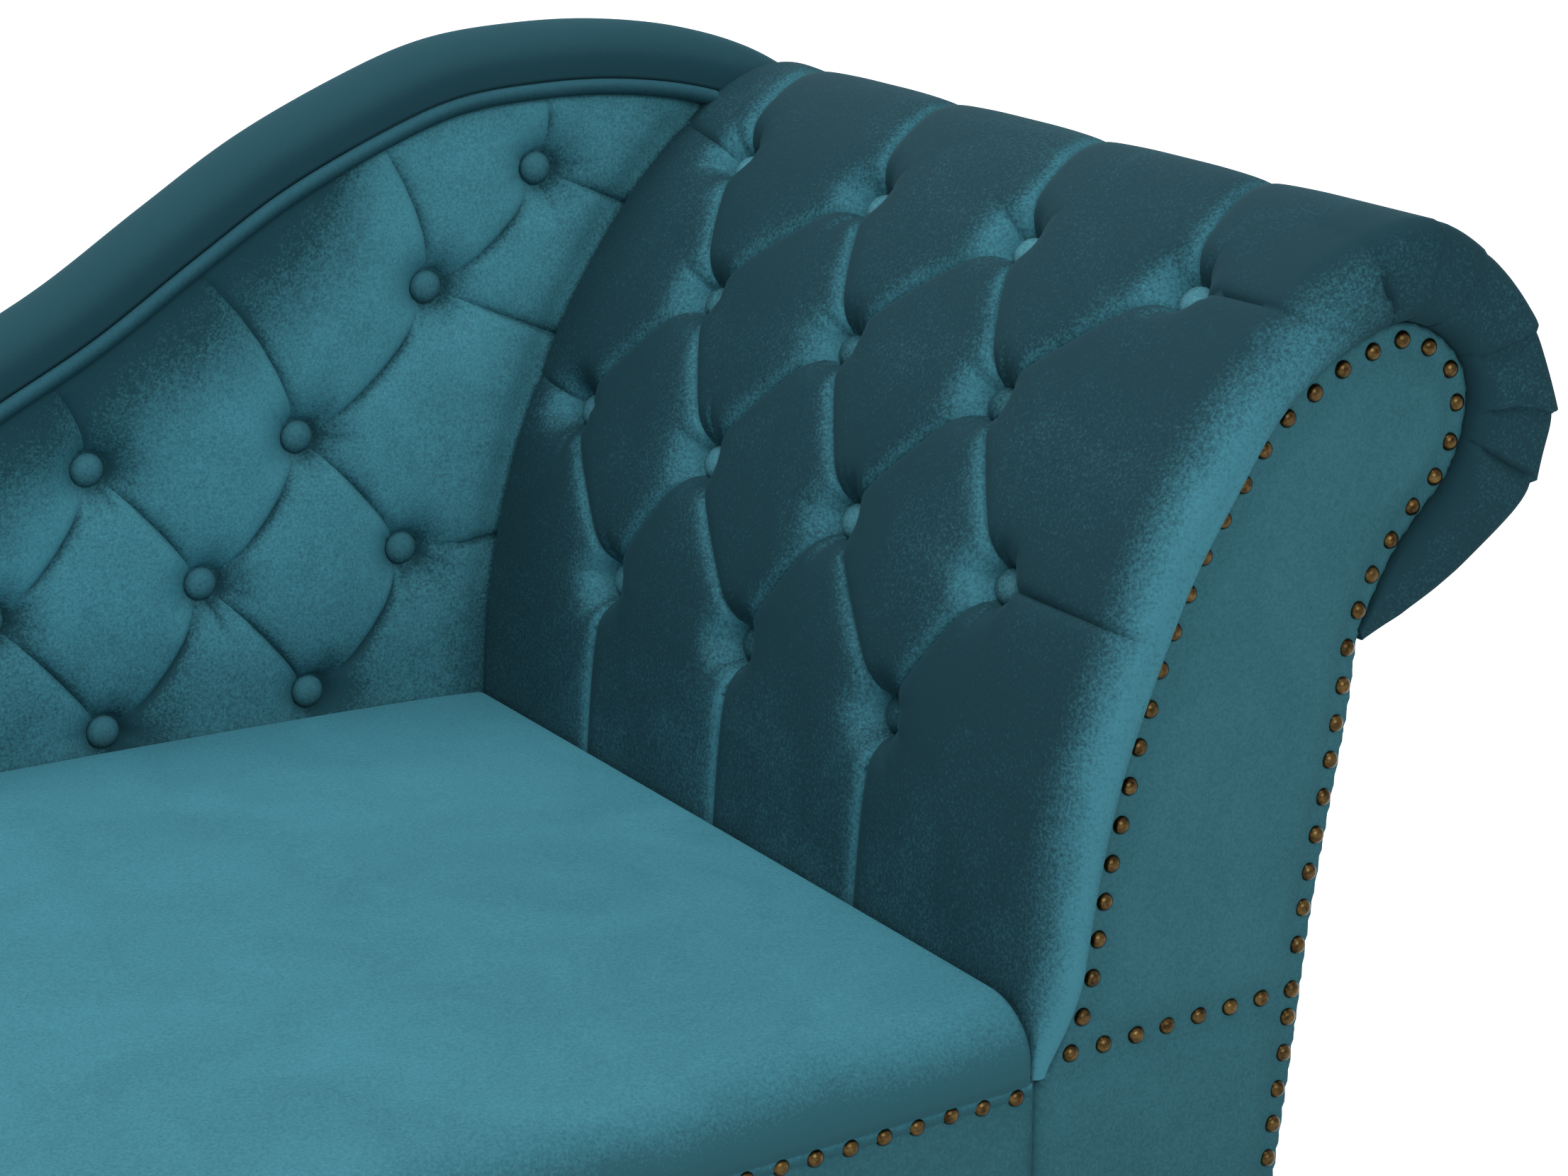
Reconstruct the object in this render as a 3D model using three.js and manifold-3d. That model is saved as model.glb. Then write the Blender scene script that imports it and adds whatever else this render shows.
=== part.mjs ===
// A chaise with one scrolled arm, a low swept back and deep button tufting.
// Millimetres, +Z up. The arm is at +X and the back at +Y. The origin is on the floor, under the
// middle of the whole piece.
import * as THREE from "three";
import { mergeVertices } from "three/addons/utils/BufferGeometryUtils.js";
import Module from "manifold-3d";

const wasm = await Module();
wasm.setup();

// The whole piece
const overallLength = 1650;
const overallDepth = 696;
const overallHeight = 803;
const legHeight = 150;
const deckHeight = 345;

// Clearance between neighbours, and how far a cutting shape runs past what it cuts
const fit = 0.3;
const overrun = 40;

// Seat pad
const seatEdgeHeight = 42;
const seatCrown = 15;
const seatCornerRadius = 24;
const seatOverhang = 4;
const seatColumns = 8;
const seatRows = 5;

// Scrolled arm
const armReach = 337;
const armDrop = 34;
const armLip = 13;
const armEdgeRound = 18;
const armEdgeReach = 24;
const facingThickness = 12;
const coreMargin = 12;
const formerThickness = 6;
const facingSteps = 40;
const scrollSteps = 6;
const undersideSteps = 4;
const curveSamples = 400;

// Back
const backPadThickness = 60;
const backPadTuck = 190;
const backFrameThickness = 30;
const topRailHeight = 42;
const bandRise = 33;
const bandDrop = 20;
const pipingRadius = 5.5;
const pipingSeat = 4;
const footCornerRadius = 52;
const pipingSides = 6;
const sweepSteps = 52;

// Boards, rails and covers
const boardThickness = 18;
const railThickness = 22;
const coverThickness = 12;
const dustCoverThickness = 2;
const postWidth = 46;
const stretcherWidth = 60;
const scrollBoardSetback = 80;
const legBoardWidth = 90;
const legBoardHeight = 30;

// Springs
const springWire = 6;
const springPitch = 190;
const springSwing = 44;
const springStep = 46;
const springHook = 11;

// Tufting: buttons stand in diamonds, joined by pleats
const buttonRadius = 11;
const buttonHeight = 7;
const buttonSink = 30;
const armButtonSink = 38;
const buttonSides = 8;
const pleatSink = 17;
const pleatReach = 50;
const dimpleReach = 60;
const pleatFootShare = 0.4;
const tuftSteps = 3;
const armColumnPitch = 144;
const armRowPitch = 93;
const armFirstRow = 147;
const armFirstColumn = 108;
const armLastColumn = 36;
const armRowShifts = [2, 13, 8, -8];
const backColumnPitch = 136;
const backFirstRow = 57;
const backTopDrop = 56;
const backFirstColumn = 114;
const backEdgeColumn = 90;
const backButtonMargin = 34;

// Decorative nails, each row through a tape
const nailRadius = 5;
const nailHeight = 2.8;
const nailPitch = 20.6;
const nailInset = 9;
const nailDrop = 6;
const nailSides = 6;
const tapeWidth = 11;
const tapeThickness = 0.6;

// Turned legs
const legRadius = 29;
const legInset = 34;
const legSides = 12;

// The arm's padded skin, from the seat deck over the scroll to its underside: shares of the
// arm's reach and of its rise over the deck
const skinShares = [
  [0, 0], [0.006, 0.13], [0.018, 0.248], [0.045, 0.365], [0.09, 0.484], [0.155, 0.602],
  [0.239, 0.719], [0.348, 0.833], [0.472, 0.929], [0.578, 0.98], [0.674, 0.997], [0.762, 0.98],
  [0.85, 0.936], [0.928, 0.868], [0.994, 0.773], [0.995, 0.683], [0.927, 0.601], [0.773, 0.518],
  [0.63, 0.468],
];
// The facing panel's edge, from the seat side over the scroll and down the outside, in the same
// shares. Below the seat it is upright, and its foot is given last.
const facingSeamShare = 0.009;
const facingShares = [
  [0.009, -0.017], [0.059, 0.047], [0.083, 0.118], [0.101, 0.2], [0.122, 0.283], [0.148, 0.365],
  [0.178, 0.448], [0.214, 0.528], [0.261, 0.608], [0.326, 0.686], [0.409, 0.771], [0.519, 0.83],
  [0.644, 0.865], [0.709, 0.861], [0.774, 0.832], [0.819, 0.783], [0.819, 0.715], [0.789, 0.658],
  [0.745, 0.623], [0.7, 0.585], [0.671, 0.552], [0.644, 0.512], [0.623, 0.472], [0.611, 0.382],
  [0.585, 0.265], [0.552, 0.106], [0.528, -0.066], [0.501, -0.239],
];
const facingFootShares = [0.411, -0.814];
// The back's edge along the seat: shares of its length and of the hump's rise over the deck
const sweepShares = [
  [0.17, 0.266], [0.322, 0.308], [0.474, 0.372], [0.588, 0.452], [0.665, 0.518], [0.719, 0.584],
  [0.762, 0.648], [0.807, 0.715], [0.857, 0.807], [0.904, 0.889], [0.956, 0.955], [0.996, 0.991],
];
const footCornerShare = 0.25;
// The back's edge behind the arm: shares of the arm's reach and rise
const sweepEndShares = [
  [0.148, 1.002], [0.312, 0.997], [0.481, 0.974], [0.629, 0.932], [0.742, 0.868], [0.807, 0.797],
  [0.825, 0.724], [0.792, 0.66], [0.745, 0.623], [0.7, 0.585], [0.671, 0.552], [0.644, 0.512],
  [0.63, 0.486],
];
// Section of the rolled band on the back's edge, from the pad over to the rear: shares of its rise
// and of its depth
const bandShares = [
  [0, 0.01], [0.5, 0.01], [0.85, 0.1], [1, 0.25], [0.94, 0.37], [0.67, 0.51], [0.27, 0.64],
  [-0.09, 0.78], [-0.33, 0.9],
];
// Back buttons: shares of half a column pitch from the first column, and of a row pitch. The last
// one is the top button.
const backButtonShares = [
  [0, 0], [2, 0], [4, 0], [6, 0], [8, 0], [10, 0], [-1, 1], [1, 1], [3, 1], [5, 1],
  [0, 2], [2, 2], [-1.34, 3], [-2.5, 3.8],
];
// How far a button looks for its neighbour, the edge and the arm: shares of a diamond's side,
// the same, and a column pitch
const neighbourShare = 1.2;
const edgeShare = 1.6;
const armwardShare = 0.6;
// How far apart the buttons of two rows on the arm may stand to share a pleat: a share of the pitch
const pleatSpanShare = 0.75;
// Half outlines of a covered button, a nail head and a plug for cutting a round hole: shares of
// the radius and the height
const buttonShares = [[0, 0], [0.9, 0], [1, 0.3], [0.75, 0.8], [0, 1]];
const nailShares = [[0, 0], [1, 0], [0, 1]];
const plugShares = [[0, 0], [1, 0], [1, 1], [0, 1]];
// Half outline of a turned leg, from the floor up: shares of its radius and height
const legShares = [
  [0, 0], [0.42, 0], [0.5, 0.04], [0.52, 0.1], [0.66, 0.2], [0.78, 0.34], [0.82, 0.46],
  [0.72, 0.56], [0.56, 0.62], [0.8, 0.66], [0.86, 0.7], [0.8, 0.74], [0.62, 0.78], [0.7, 0.84],
  [1, 0.89], [1, 1], [0, 1],
];
// Where the front edge of the arm and the corners of the seat take extra rings: shares of the
// reach of the edge's rounding, and of the corner radius
const armLipShares = [0.05, 0.2];
const seatCornerShares = [0, 0.12, 0.45, 1];
// How close a grid line may come to the end of its grid: a share of the grid's step
const crowdShare = 0.25;

// Places along the length, the depth and the height
const left = -overallLength / 2;
const right = overallLength / 2;
const front = -overallDepth / 2;
const rear = overallDepth / 2;
const innerFace = right - armReach;
const armRise = overallHeight - armDrop - deckHeight;
const humpRise = overallHeight - bandRise - fit - deckHeight;
const facingFace = front + armLip;
const facingRear = facingFace + facingThickness;
const boardFront = facingRear + fit;
const boardRear = boardFront + boardThickness;
const frameRear = rear - coverThickness - fit;
const frameFront = frameRear - backFrameThickness;
const rearRailFront = frameRear - railThickness;
const crestPlane = frameFront - fit - backPadThickness;
const armPadRear = crestPlane - fit;
const rearBoardFront = armPadRear - boardThickness;
const railTop = deckHeight - springWire - 2 * fit;
const coverLeft = left + seatOverhang;
const railLeft = coverLeft + coverThickness + fit;
const backLeft = left + bandRise + fit;
const backPadRight = innerFace + backPadTuck;
const padFoot = deckHeight + fit;
const topButtonRow = backButtonShares[backButtonShares.length - 1][1];
const backRowPitch = (humpRise - backTopDrop - backFirstRow) / topButtonRow;
const boardMargin = coreMargin + fit;

const velvet = finish(0x2f6b79, 0.9, 0);
const shadedVelvet = finish(0x24505c, 0.9, 0);
const brass = finish(0x7d6234, 0.4, 0.9);
const beech = finish(0xc9a777, 0.75, 0);
const plywood = finish(0xbf9a66, 0.8, 0);
const darkWood = finish(0x2b1c15, 0.45, 0);
const steel = finish(0x8a8d90, 0.45, 0.9);
const blackCloth = finish(0x1b1b1d, 0.95, 0);

const chaise = new THREE.Group();

function finish(color, roughness, metalness) {
  return new THREE.MeshStandardMaterial({ color, roughness, metalness });
}

// Solids and meshes

function solidOf(geometry) {
  const bare = geometry.index ? geometry.toNonIndexed() : geometry.clone();
  bare.deleteAttribute("normal");
  bare.deleteAttribute("uv");
  const merged = mergeVertices(bare);
  const mesh = new wasm.Mesh({
    numProp: 3,
    vertProperties: merged.attributes.position.array,
    triVerts: new Uint32Array(merged.index.array),
  });
  return new wasm.Manifold(mesh);
}

function geometryOf(solid) {
  const mesh = solid.getMesh();
  const geometry = new THREE.BufferGeometry();
  geometry.setAttribute("position", new THREE.BufferAttribute(mesh.vertProperties, 3));
  geometry.setIndex(new THREE.BufferAttribute(mesh.triVerts, 1));
  geometry.computeVertexNormals();
  return geometry;
}

function addPiece(name, shape, material) {
  const geometry = shape.isBufferGeometry ? shape : geometryOf(shape);
  const mesh = new THREE.Mesh(geometry, material);
  mesh.name = name;
  chaise.add(mesh);
}

// The main body, where a cut leaves crumbs behind
function mainBody(solid) {
  return solid.decompose().reduce((a, b) => (a.volume() > b.volume() ? a : b));
}

function box(x0, x1, y0, y1, z0, z1) {
  const geometry = new THREE.BoxGeometry(x1 - x0, y1 - y0, z1 - z0);
  return geometry.translate((x0 + x1) / 2, (y0 + y1) / 2, (z0 + z1) / 2);
}

function shapeOf(points) {
  return new THREE.Shape(points.map(([u, v]) => new THREE.Vector2(u, v)));
}

// A closed outline of [x, z] points, drawn through from y0 to y1
function throughDepth(points, y0, y1) {
  const options = { depth: y1 - y0, bevelEnabled: false };
  const geometry = new THREE.ExtrudeGeometry(shapeOf(points), options);
  return geometry.rotateX(Math.PI / 2).translate(0, y1, 0);
}

// A half outline turned round the vertical, scaled from shares
function turned(shares, radius, height, sides) {
  const outline = shares.map(([r, z]) => new THREE.Vector2(r * radius, z * height));
  return new THREE.LatheGeometry(outline, sides).rotateX(Math.PI / 2);
}

// A shape that stands on a surface at a place, along the way the surface faces
function seatedOn(geometry, place, outward) {
  const turn = new THREE.Quaternion().setFromUnitVectors(new THREE.Vector3(0, 0, 1), outward);
  return geometry.applyQuaternion(turn).translate(place.x, place.y, place.z);
}

// A closed skin over rings of equal counts, with a lid on the first and the last. Where a face
// can be split two ways, the split runs along the deeper corners, so a pleat stays one valley.
function loft(rings, flat, sinks = []) {
  const count = rings[0].length;
  const faces = [];
  const at = (r, i) => r * count + (i % count);
  const deep = (k) => sinks[k] ?? 0;
  for (let r = 0; r + 1 < rings.length; r++) {
    for (let i = 0; i < count; i++) {
      const [a, b, c, d] = [at(r, i), at(r, i + 1), at(r + 1, i + 1), at(r + 1, i)];
      if (deep(a) + deep(c) >= deep(b) + deep(d)) faces.push(a, b, c, a, c, d);
      else faces.push(a, b, d, b, c, d);
    }
  }
  for (const r of [0, rings.length - 1]) {
    const contour = rings[r].map((p, i) => new THREE.Vector2(...flat(p, i)));
    const forward = THREE.ShapeUtils.area(contour) > 0;
    for (const lid of THREE.ShapeUtils.triangulateShape(contour, [])) {
      const same = THREE.ShapeUtils.area(lid.map((k) => contour[k])) > 0 === forward;
      const ordered = same === (r > 0) ? lid : [...lid].reverse();
      faces.push(...ordered.map((k) => at(r, k)));
    }
  }
  const geometry = new THREE.BufferGeometry();
  geometry.setAttribute("position", new THREE.Float32BufferAttribute(rings.flat(2), 3));
  geometry.setIndex(faces);
  return facingOut(geometry);
}

function facingOut(geometry) {
  const [a, b, c] = [new THREE.Vector3(), new THREE.Vector3(), new THREE.Vector3()];
  const places = geometry.attributes.position;
  const index = geometry.index.array;
  let volume = 0;
  for (let i = 0; i < index.length; i += 3) {
    a.fromBufferAttribute(places, index[i]);
    b.fromBufferAttribute(places, index[i + 1]);
    c.fromBufferAttribute(places, index[i + 2]);
    volume += a.dot(b.cross(c));
  }
  if (volume < 0) index.reverse();
  return geometry;
}

// Flat outlines of [x, z] points

function armPoint([across, up]) {
  return [innerFace + across * armReach, deckHeight + up * armRise];
}

function sweepPoint([along, up]) {
  return [backLeft + along * (innerFace - backLeft), deckHeight + up * humpRise];
}

function curveThrough(points) {
  return new THREE.SplineCurve(points.map(([x, z]) => new THREE.Vector2(x, z)));
}

function spacedPoints(curve, count) {
  return curve.getSpacedPoints(count).map((p) => [p.x, p.y]);
}

// The way across a line at one of its points, to the left of its direction
function acrossLine(points, i) {
  const before = points[Math.max(i - 1, 0)];
  const after = points[Math.min(i + 1, points.length - 1)];
  const run = Math.hypot(after[0] - before[0], after[1] - before[1]);
  return [(before[1] - after[1]) / run, (after[0] - before[0]) / run];
}

function offsetLine(points, step) {
  return points.map((p, i) => {
    const [across, up] = acrossLine(points, i);
    return [p[0] + across * step, p[1] + up * step];
  });
}

// The part of a line above a level, with its ends cut on that level
function lineAbove(line, level) {
  const kept = [];
  line.forEach((p, i) => {
    const q = line[i - 1] ?? p;
    if (p[1] > level !== q[1] > level) {
      const share = (level - q[1]) / (p[1] - q[1]);
      kept.push([q[0] + share * (p[0] - q[0]), level]);
    }
    if (p[1] > level) kept.push(p);
  });
  return kept;
}

const facingCurve = curveThrough(facingShares.map(armPoint));
const seamX = armPoint([facingSeamShare, 0])[0];
const facingLine = [[seamX, 0], ...spacedPoints(facingCurve, facingSteps),
  armPoint(facingFootShares)];

// The facing's outline drawn in by a margin, standing on a level
function facingOutline(margin, level) {
  return lineAbove(offsetLine(facingLine, -margin), level);
}

// The arm's outer side below the scroll, drawn in by a margin, from the scroll down to a level
const scrollEnd = armPoint(skinShares[skinShares.length - 1])[1] - fit;
function outerSide(margin, level) {
  const whole = facingOutline(margin, level);
  const last = whole.length - 1;
  const top = whole.findIndex(([, z], i) => i > last / 2 && z < scrollEnd);
  const [above, below] = [whole[top - 1], whole[top]];
  const share = (scrollEnd - above[1]) / (below[1] - above[1]);
  return [[above[0] + share * (below[0] - above[0]), scrollEnd], ...whole.slice(top)];
}

// The back's edge: up the rounded foot, along the sweep, over the hump and round the scroll
function sweepLine() {
  const cornerTop = sweepPoint([0, footCornerShare])[1];
  const edge = new THREE.Path().moveTo(backLeft, padFoot);
  edge.lineTo(backLeft, cornerTop - footCornerRadius);
  edge.quadraticCurveTo(backLeft, cornerTop, backLeft + footCornerRadius, cornerTop);
  const rest = [...sweepShares.map(sweepPoint), ...sweepEndShares.map(armPoint)];
  edge.splineThru(rest.map(([x, z]) => new THREE.Vector2(x, z)));
  return spacedPoints(edge, sweepSteps);
}

const backEdge = sweepLine();
const backOuterSide = outerSide(0, 0).slice(1);

// What lies inside the back's edge by a margin, standing on a level
function backOutline(margin, level) {
  const edge = offsetLine([[backLeft, 0], ...backEdge], -margin);
  return lineAbove([...edge, ...backOuterSide], level);
}

// Everything outside the arm's outer wall, for clearing what lies inside it
function beyondOuterWall() {
  const wall = outerSide(coreMargin, 0);
  const far = right + overrun;
  const outline = [...wall, [far, wall[wall.length - 1][1]], [far, wall[0][1]]];
  return solidOf(throughDepth(outline, front, rear));
}

// Tufting

function segmentDistance([u, v], [from, to]) {
  const [du, dv] = [to[0] - from[0], to[1] - from[1]];
  const share = ((u - from[0]) * du + (v - from[1]) * dv) / (du * du + dv * dv);
  const held = Math.min(1, Math.max(0, share));
  return Math.hypot(u - from[0] - held * du, v - from[1] - held * dv);
}

// A fall that is steep at first and has died out at its reach
function fallOff(distance, reach) {
  return Math.max(0, 1 - distance / reach) ** 2;
}

function tuftSink(point, buttons, pleats, deepest) {
  const toButton = Math.min(...buttons.map(([u, v]) => Math.hypot(point[0] - u, point[1] - v)));
  const toPleat = Math.min(toButton, ...pleats.map((pleat) => segmentDistance(point, pleat)));
  const dimple = (deepest - pleatSink) * fallOff(toButton, dimpleReach);
  return pleatSink * fallOff(toPleat, pleatReach) + dimple;
}

// Lines of a grid between two ends: one falls on the anchor, and none crowds an end
function gridLines(from, to, anchor, step) {
  const first = Math.ceil((from - anchor) / step + crowdShare);
  const last = Math.floor((to - anchor) / step - crowdShare);
  const inner = Array.from({ length: last - first + 1 }, (_, k) => anchor + (first + k) * step);
  return [from, ...inner, to];
}

function evenly(from, to, count) {
  return Array.from({ length: count }, (_, k) => from + ((k + 1) * (to - from)) / count);
}

function button(place, outward) {
  return seatedOn(turned(buttonShares, buttonRadius, buttonHeight, buttonSides), place, outward);
}

// The well that a button sits in, open to the outside
function buttonWell(place, outward) {
  const well = turned(plugShares, buttonRadius + fit, armButtonSink + overrun, buttonSides);
  return solidOf(seatedOn(well.translate(0, 0, -fit), place, outward));
}

// Arm: its skin is measured along the outline from the seat deck, and drawn along the depth

const widestShare = Math.max(...curveThrough(skinShares).getPoints(curveSamples).map((p) => p.x));
const skinCurve = curveThrough(skinShares.map(([x, z]) => armPoint([x / widestShare, z])));
const skinLength = skinCurve.getLength();

function skinAt(along) {
  const share = Math.min(1, along / skinLength);
  const place = skinCurve.getPointAt(share);
  const heading = skinCurve.getTangentAt(share);
  return { place, outward: new THREE.Vector2(-heading.y, heading.x) };
}

function widestAlong() {
  const tries = evenly(0, skinLength, Math.round(skinLength));
  return tries.reduce((a, b) => (skinAt(a).place.x > skinAt(b).place.x ? a : b));
}

function armButtonRows() {
  return armRowShifts.map((shift, row) => {
    const stagger = row % 2 === 0 ? armColumnPitch / 2 : 0;
    const places = [];
    let y = front + armFirstColumn + stagger + shift;
    for (; y < armPadRear - armLastColumn; y += armColumnPitch) {
      places.push([y, armFirstRow + row * armRowPitch]);
    }
    return places;
  });
}

// How far the rows' shifts move a place on the skin: not at all at its front and rear edges
function rowShift(y, along) {
  const last = armRowShifts.length - 1;
  const row = Math.min(last, Math.max(0, (along - armFirstRow) / armRowPitch));
  const below = Math.min(last - 1, Math.floor(row));
  const [low, high] = [armRowShifts[below], armRowShifts[below + 1]];
  const hold = Math.min(1, (y - front) / armLastColumn, (armPadRear - y) / armLastColumn);
  return hold * (low + (row - below) * (high - low));
}

function armPleats(rows) {
  const pleats = [];
  rows.slice(1).forEach((upper, row) => {
    for (const low of rows[row]) {
      const near = upper.filter(([y]) => Math.abs(y - low[0]) < pleatSpanShare * armColumnPitch);
      pleats.push(...near.map((high) => [low, high]));
    }
  });
  const foot = pleatReach * pleatFootShare;
  pleats.push(...rows[0].map(([y, along]) => [[y, along], [y, foot]]));
  const top = rows[rows.length - 1];
  pleats.push(...top.map(([y, along]) => [[y, along], [y, skinLength - pleatReach]]));
  const fronts = rows.map((row) => row[0]).filter(([y]) => y < front + armColumnPitch);
  pleats.push(...fronts.map(([y, along]) => [[y, along], [front, along]]));
  return pleats;
}

function armPadBlock(rows) {
  const buttons = rows.flat();
  const pleats = armPleats(rows);
  const step = armColumnPitch / 2 / tuftSteps;
  const columns = gridLines(front, armPadRear, front + armFirstColumn, step);
  const lips = armLipShares.map((share) => front + share * armEdgeReach);
  const depths = [front, ...lips, ...columns.slice(1)];
  const top = armFirstRow + (rows.length - 1) * armRowPitch;
  const widest = widestAlong();
  const alongs = [...gridLines(0, top, armFirstRow, armRowPitch / tuftSteps),
    ...evenly(top, widest, scrollSteps), ...evenly(widest, skinLength, undersideSteps)];
  const closing = [outerSide(boardMargin, deckHeight)[0], facingOutline(boardMargin, deckHeight)[0]];
  const sinks = [];
  const rings = depths.map((y) => {
    const ring = alongs.map((along) => {
      const { place, outward } = skinAt(along);
      const moved = y + rowShift(y, along);
      const rounding = armEdgeRound * fallOff(y - front, armEdgeReach);
      const sink = tuftSink([moved, along], buttons, pleats, armButtonSink) + rounding;
      const [x, z] = [place.x - outward.x * sink, place.y - outward.y * sink];
      sinks.push(sink);
      return [x, moved, Math.max(deckHeight, z)];
    });
    sinks.push(...closing.map(() => 0));
    return [...ring, ...closing.map(([x, z]) => [x, y, z])];
  });
  return solidOf(loft(rings, (p) => [p[0], p[2]], sinks));
}

function buildArmPad() {
  const rows = armButtonRows();
  const pocket = throughDepth(facingOutline(-fit, legHeight), front - overrun, facingRear + fit);
  const core = throughDepth(facingOutline(coreMargin, legHeight), facingRear, rear);
  let pad = armPadBlock(rows).subtract(solidOf(pocket)).subtract(solidOf(core));
  rows.forEach((row, r) => row.forEach(([y, along], k) => {
    const { place, outward } = skinAt(along);
    const out = new THREE.Vector3(outward.x, 0, outward.y);
    const seat = new THREE.Vector3(place.x, y, place.y).addScaledVector(out, -armButtonSink);
    pad = pad.subtract(buttonWell(seat, out));
    addPiece(`arm_button_${r + 1}_${k + 1}`, button(seat, out), velvet);
  }));
  addPiece("arm_pad", mainBody(pad), velvet);
}

function buildArmBoards() {
  const panel = throughDepth(facingOutline(0, legHeight), facingFace, facingRear);
  addPiece("arm_facing_panel", panel, velvet);
  const board = throughDepth(facingOutline(boardMargin, legHeight), boardFront, boardRear);
  addPiece("arm_front_board", board, plywood);
  const rearOutline = facingOutline(boardMargin, railTop + fit);
  addPiece("arm_rear_board", throughDepth(rearOutline, rearBoardFront, armPadRear), plywood);
}

// A bent sheet between the boards carries the padding from the deck round to the outer side
function buildArmFormer() {
  const whole = facingOutline(boardMargin, railTop + fit);
  const end = whole.findIndex(([, z], i) => i > whole.length / 2 && z < scrollEnd);
  const outside = whole.slice(0, end);
  const inside = offsetLine(outside, -formerThickness);
  inside[0][1] = railTop + fit;
  const outline = [...outside, ...inside.reverse()];
  addPiece("arm_former", throughDepth(outline, boardRear + fit, rearBoardFront - fit), plywood);
}

function buildOuterArm() {
  const outside = outerSide(0, legHeight);
  const inside = outerSide(coreMargin - fit, legHeight).reverse();
  const outline = [...outside, ...inside];
  addPiece("outside_arm_panel", throughDepth(outline, boardFront, frameRear), shadedVelvet);
}

// Back

function backButtons() {
  return backButtonShares.map(([column, row]) => [
    innerFace - backFirstColumn - (column * backColumnPitch) / 2,
    deckHeight + backFirstRow + row * backRowPitch,
  ]).filter((p) => p[0] > backLeft + backEdgeColumn
    && distance(p, nearestOf(backEdge, p)) > backButtonMargin);
}

function distance(p, q) {
  return Math.hypot(p[0] - q[0], p[1] - q[1]);
}

function nearestOf(points, place) {
  return points.reduce((a, b) => (distance(a, place) < distance(b, place) ? a : b));
}

function backPleats(buttons) {
  const side = Math.hypot(backColumnPitch / 2, backRowPitch);
  const pleats = [];
  for (const place of buttons) {
    const [x, z] = place;
    const above = buttons.filter((p) => p[1] > z + buttonRadius
      && distance(p, place) < neighbourShare * side);
    pleats.push(...above.map((p) => [place, p]));
    const edge = nearestOf(backEdge, place);
    const edgeIsNear = distance(edge, place) < edgeShare * side;
    if (above.length < 2 && edgeIsNear) pleats.push([place, edge]);
    const armIsNear = x > innerFace - armwardShare * backColumnPitch;
    if (armIsNear) pleats.push([place, [x + backColumnPitch, z]]);
    if (z < deckHeight + backFirstRow + buttonRadius) pleats.push([place, [x, deckHeight]]);
  }
  return pleats;
}

function backPadBlock(buttons) {
  const pleats = backPleats(buttons);
  const step = backColumnPitch / 2 / tuftSteps;
  const xs = gridLines(left, backPadRight, innerFace - backFirstColumn, step);
  const zs = gridLines(padFoot, overallHeight, deckHeight + backFirstRow, backRowPitch / tuftSteps);
  const sinks = [];
  const rings = xs.map((x) => {
    const ring = zs.map((z) => {
      const sink = tuftSink([x, z], buttons, pleats, buttonSink);
      sinks.push(sink);
      return [x, crestPlane + sink, z];
    });
    sinks.push(0, 0);
    const padRear = frameFront - fit;
    return [...ring, [x, padRear, overallHeight], [x, padRear, padFoot]];
  });
  return solidOf(loft(rings, (p) => [p[1], p[2]], sinks));
}

// The pad fills the back's outline, with a step along its edge for the piping
function buildBackPad() {
  const buttons = backButtons();
  const block = backPadBlock(buttons).subtract(beyondOuterWall());
  const stepPlane = crestPlane + pipingSeat + fit;
  const whole = throughDepth(backOutline(0, deckHeight), crestPlane - overrun, rear);
  const inner = throughDepth(backOutline(2 * pipingRadius + fit, 0), front, rear);
  const edge = solidOf(box(left, right, front, stepPlane, 0, overallHeight));
  let pad = block.intersect(solidOf(whole)).subtract(edge.subtract(solidOf(inner)));
  buttons.forEach(([x, z], k) => {
    const out = new THREE.Vector3(0, -1, 0);
    const seat = new THREE.Vector3(x, crestPlane + buttonSink, z);
    pad = pad.subtract(buttonWell(seat, out));
    addPiece(`back_button_${k + 1}`, button(seat, out), velvet);
  });
  addPiece("back_pad", mainBody(pad), velvet);
}

// The band goes over the pad and down behind it, onto the frame and the outside back
function bandSection() {
  const depth = rear - fit - crestPlane;
  const step = frameFront - crestPlane;
  const over = bandShares.map(([rise, along]) => [fit + rise * bandRise, along * depth]);
  return [...over, [fit - bandDrop, depth], [fit - bandDrop, step], [fit, step]];
}

function buildBackRoll() {
  const section = bandSection();
  const rings = backEdge.map((p, i) => {
    const [across, up] = acrossLine(backEdge, i);
    return section.map(([rise, y]) => [p[0] + across * rise, crestPlane + y, p[1] + up * rise]);
  });
  addPiece("back_edge_roll", loft(rings, (_, i) => section[i]), shadedVelvet);
}

// Piping lies in the corner between the pad and the roll, from the seat to the arm
function buildPiping() {
  const seatTop = deckHeight + seatEdgeHeight + fit;
  const centre = lineAbove(offsetLine(backEdge, -pipingRadius), seatTop + pipingRadius);
  const stop = centre.findIndex(([x]) => x > backPadRight);
  const y = crestPlane + pipingSeat - pipingRadius;
  const angles = evenly(0, 2 * Math.PI, pipingSides).map((angle) => angle + Math.PI / pipingSides);
  const rings = centre.slice(0, stop).map((p, i) => {
    const [across, up] = acrossLine(centre, i);
    return angles.map((angle) => {
      const step = pipingRadius * Math.cos(angle);
      return [p[0] + across * step, y + pipingRadius * Math.sin(angle), p[1] + up * step];
    });
  });
  const length = loft(rings, (_, i) => [Math.cos(angles[i]), Math.sin(angles[i])]);
  const skin = offsetLine(spacedPoints(skinCurve, facingSteps), fit);
  const arm = throughDepth([...skin, [right, 0], [innerFace, 0]], front, frameFront);
  addPiece("back_piping", mainBody(solidOf(length).subtract(solidOf(arm))), velvet);
}

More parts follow.
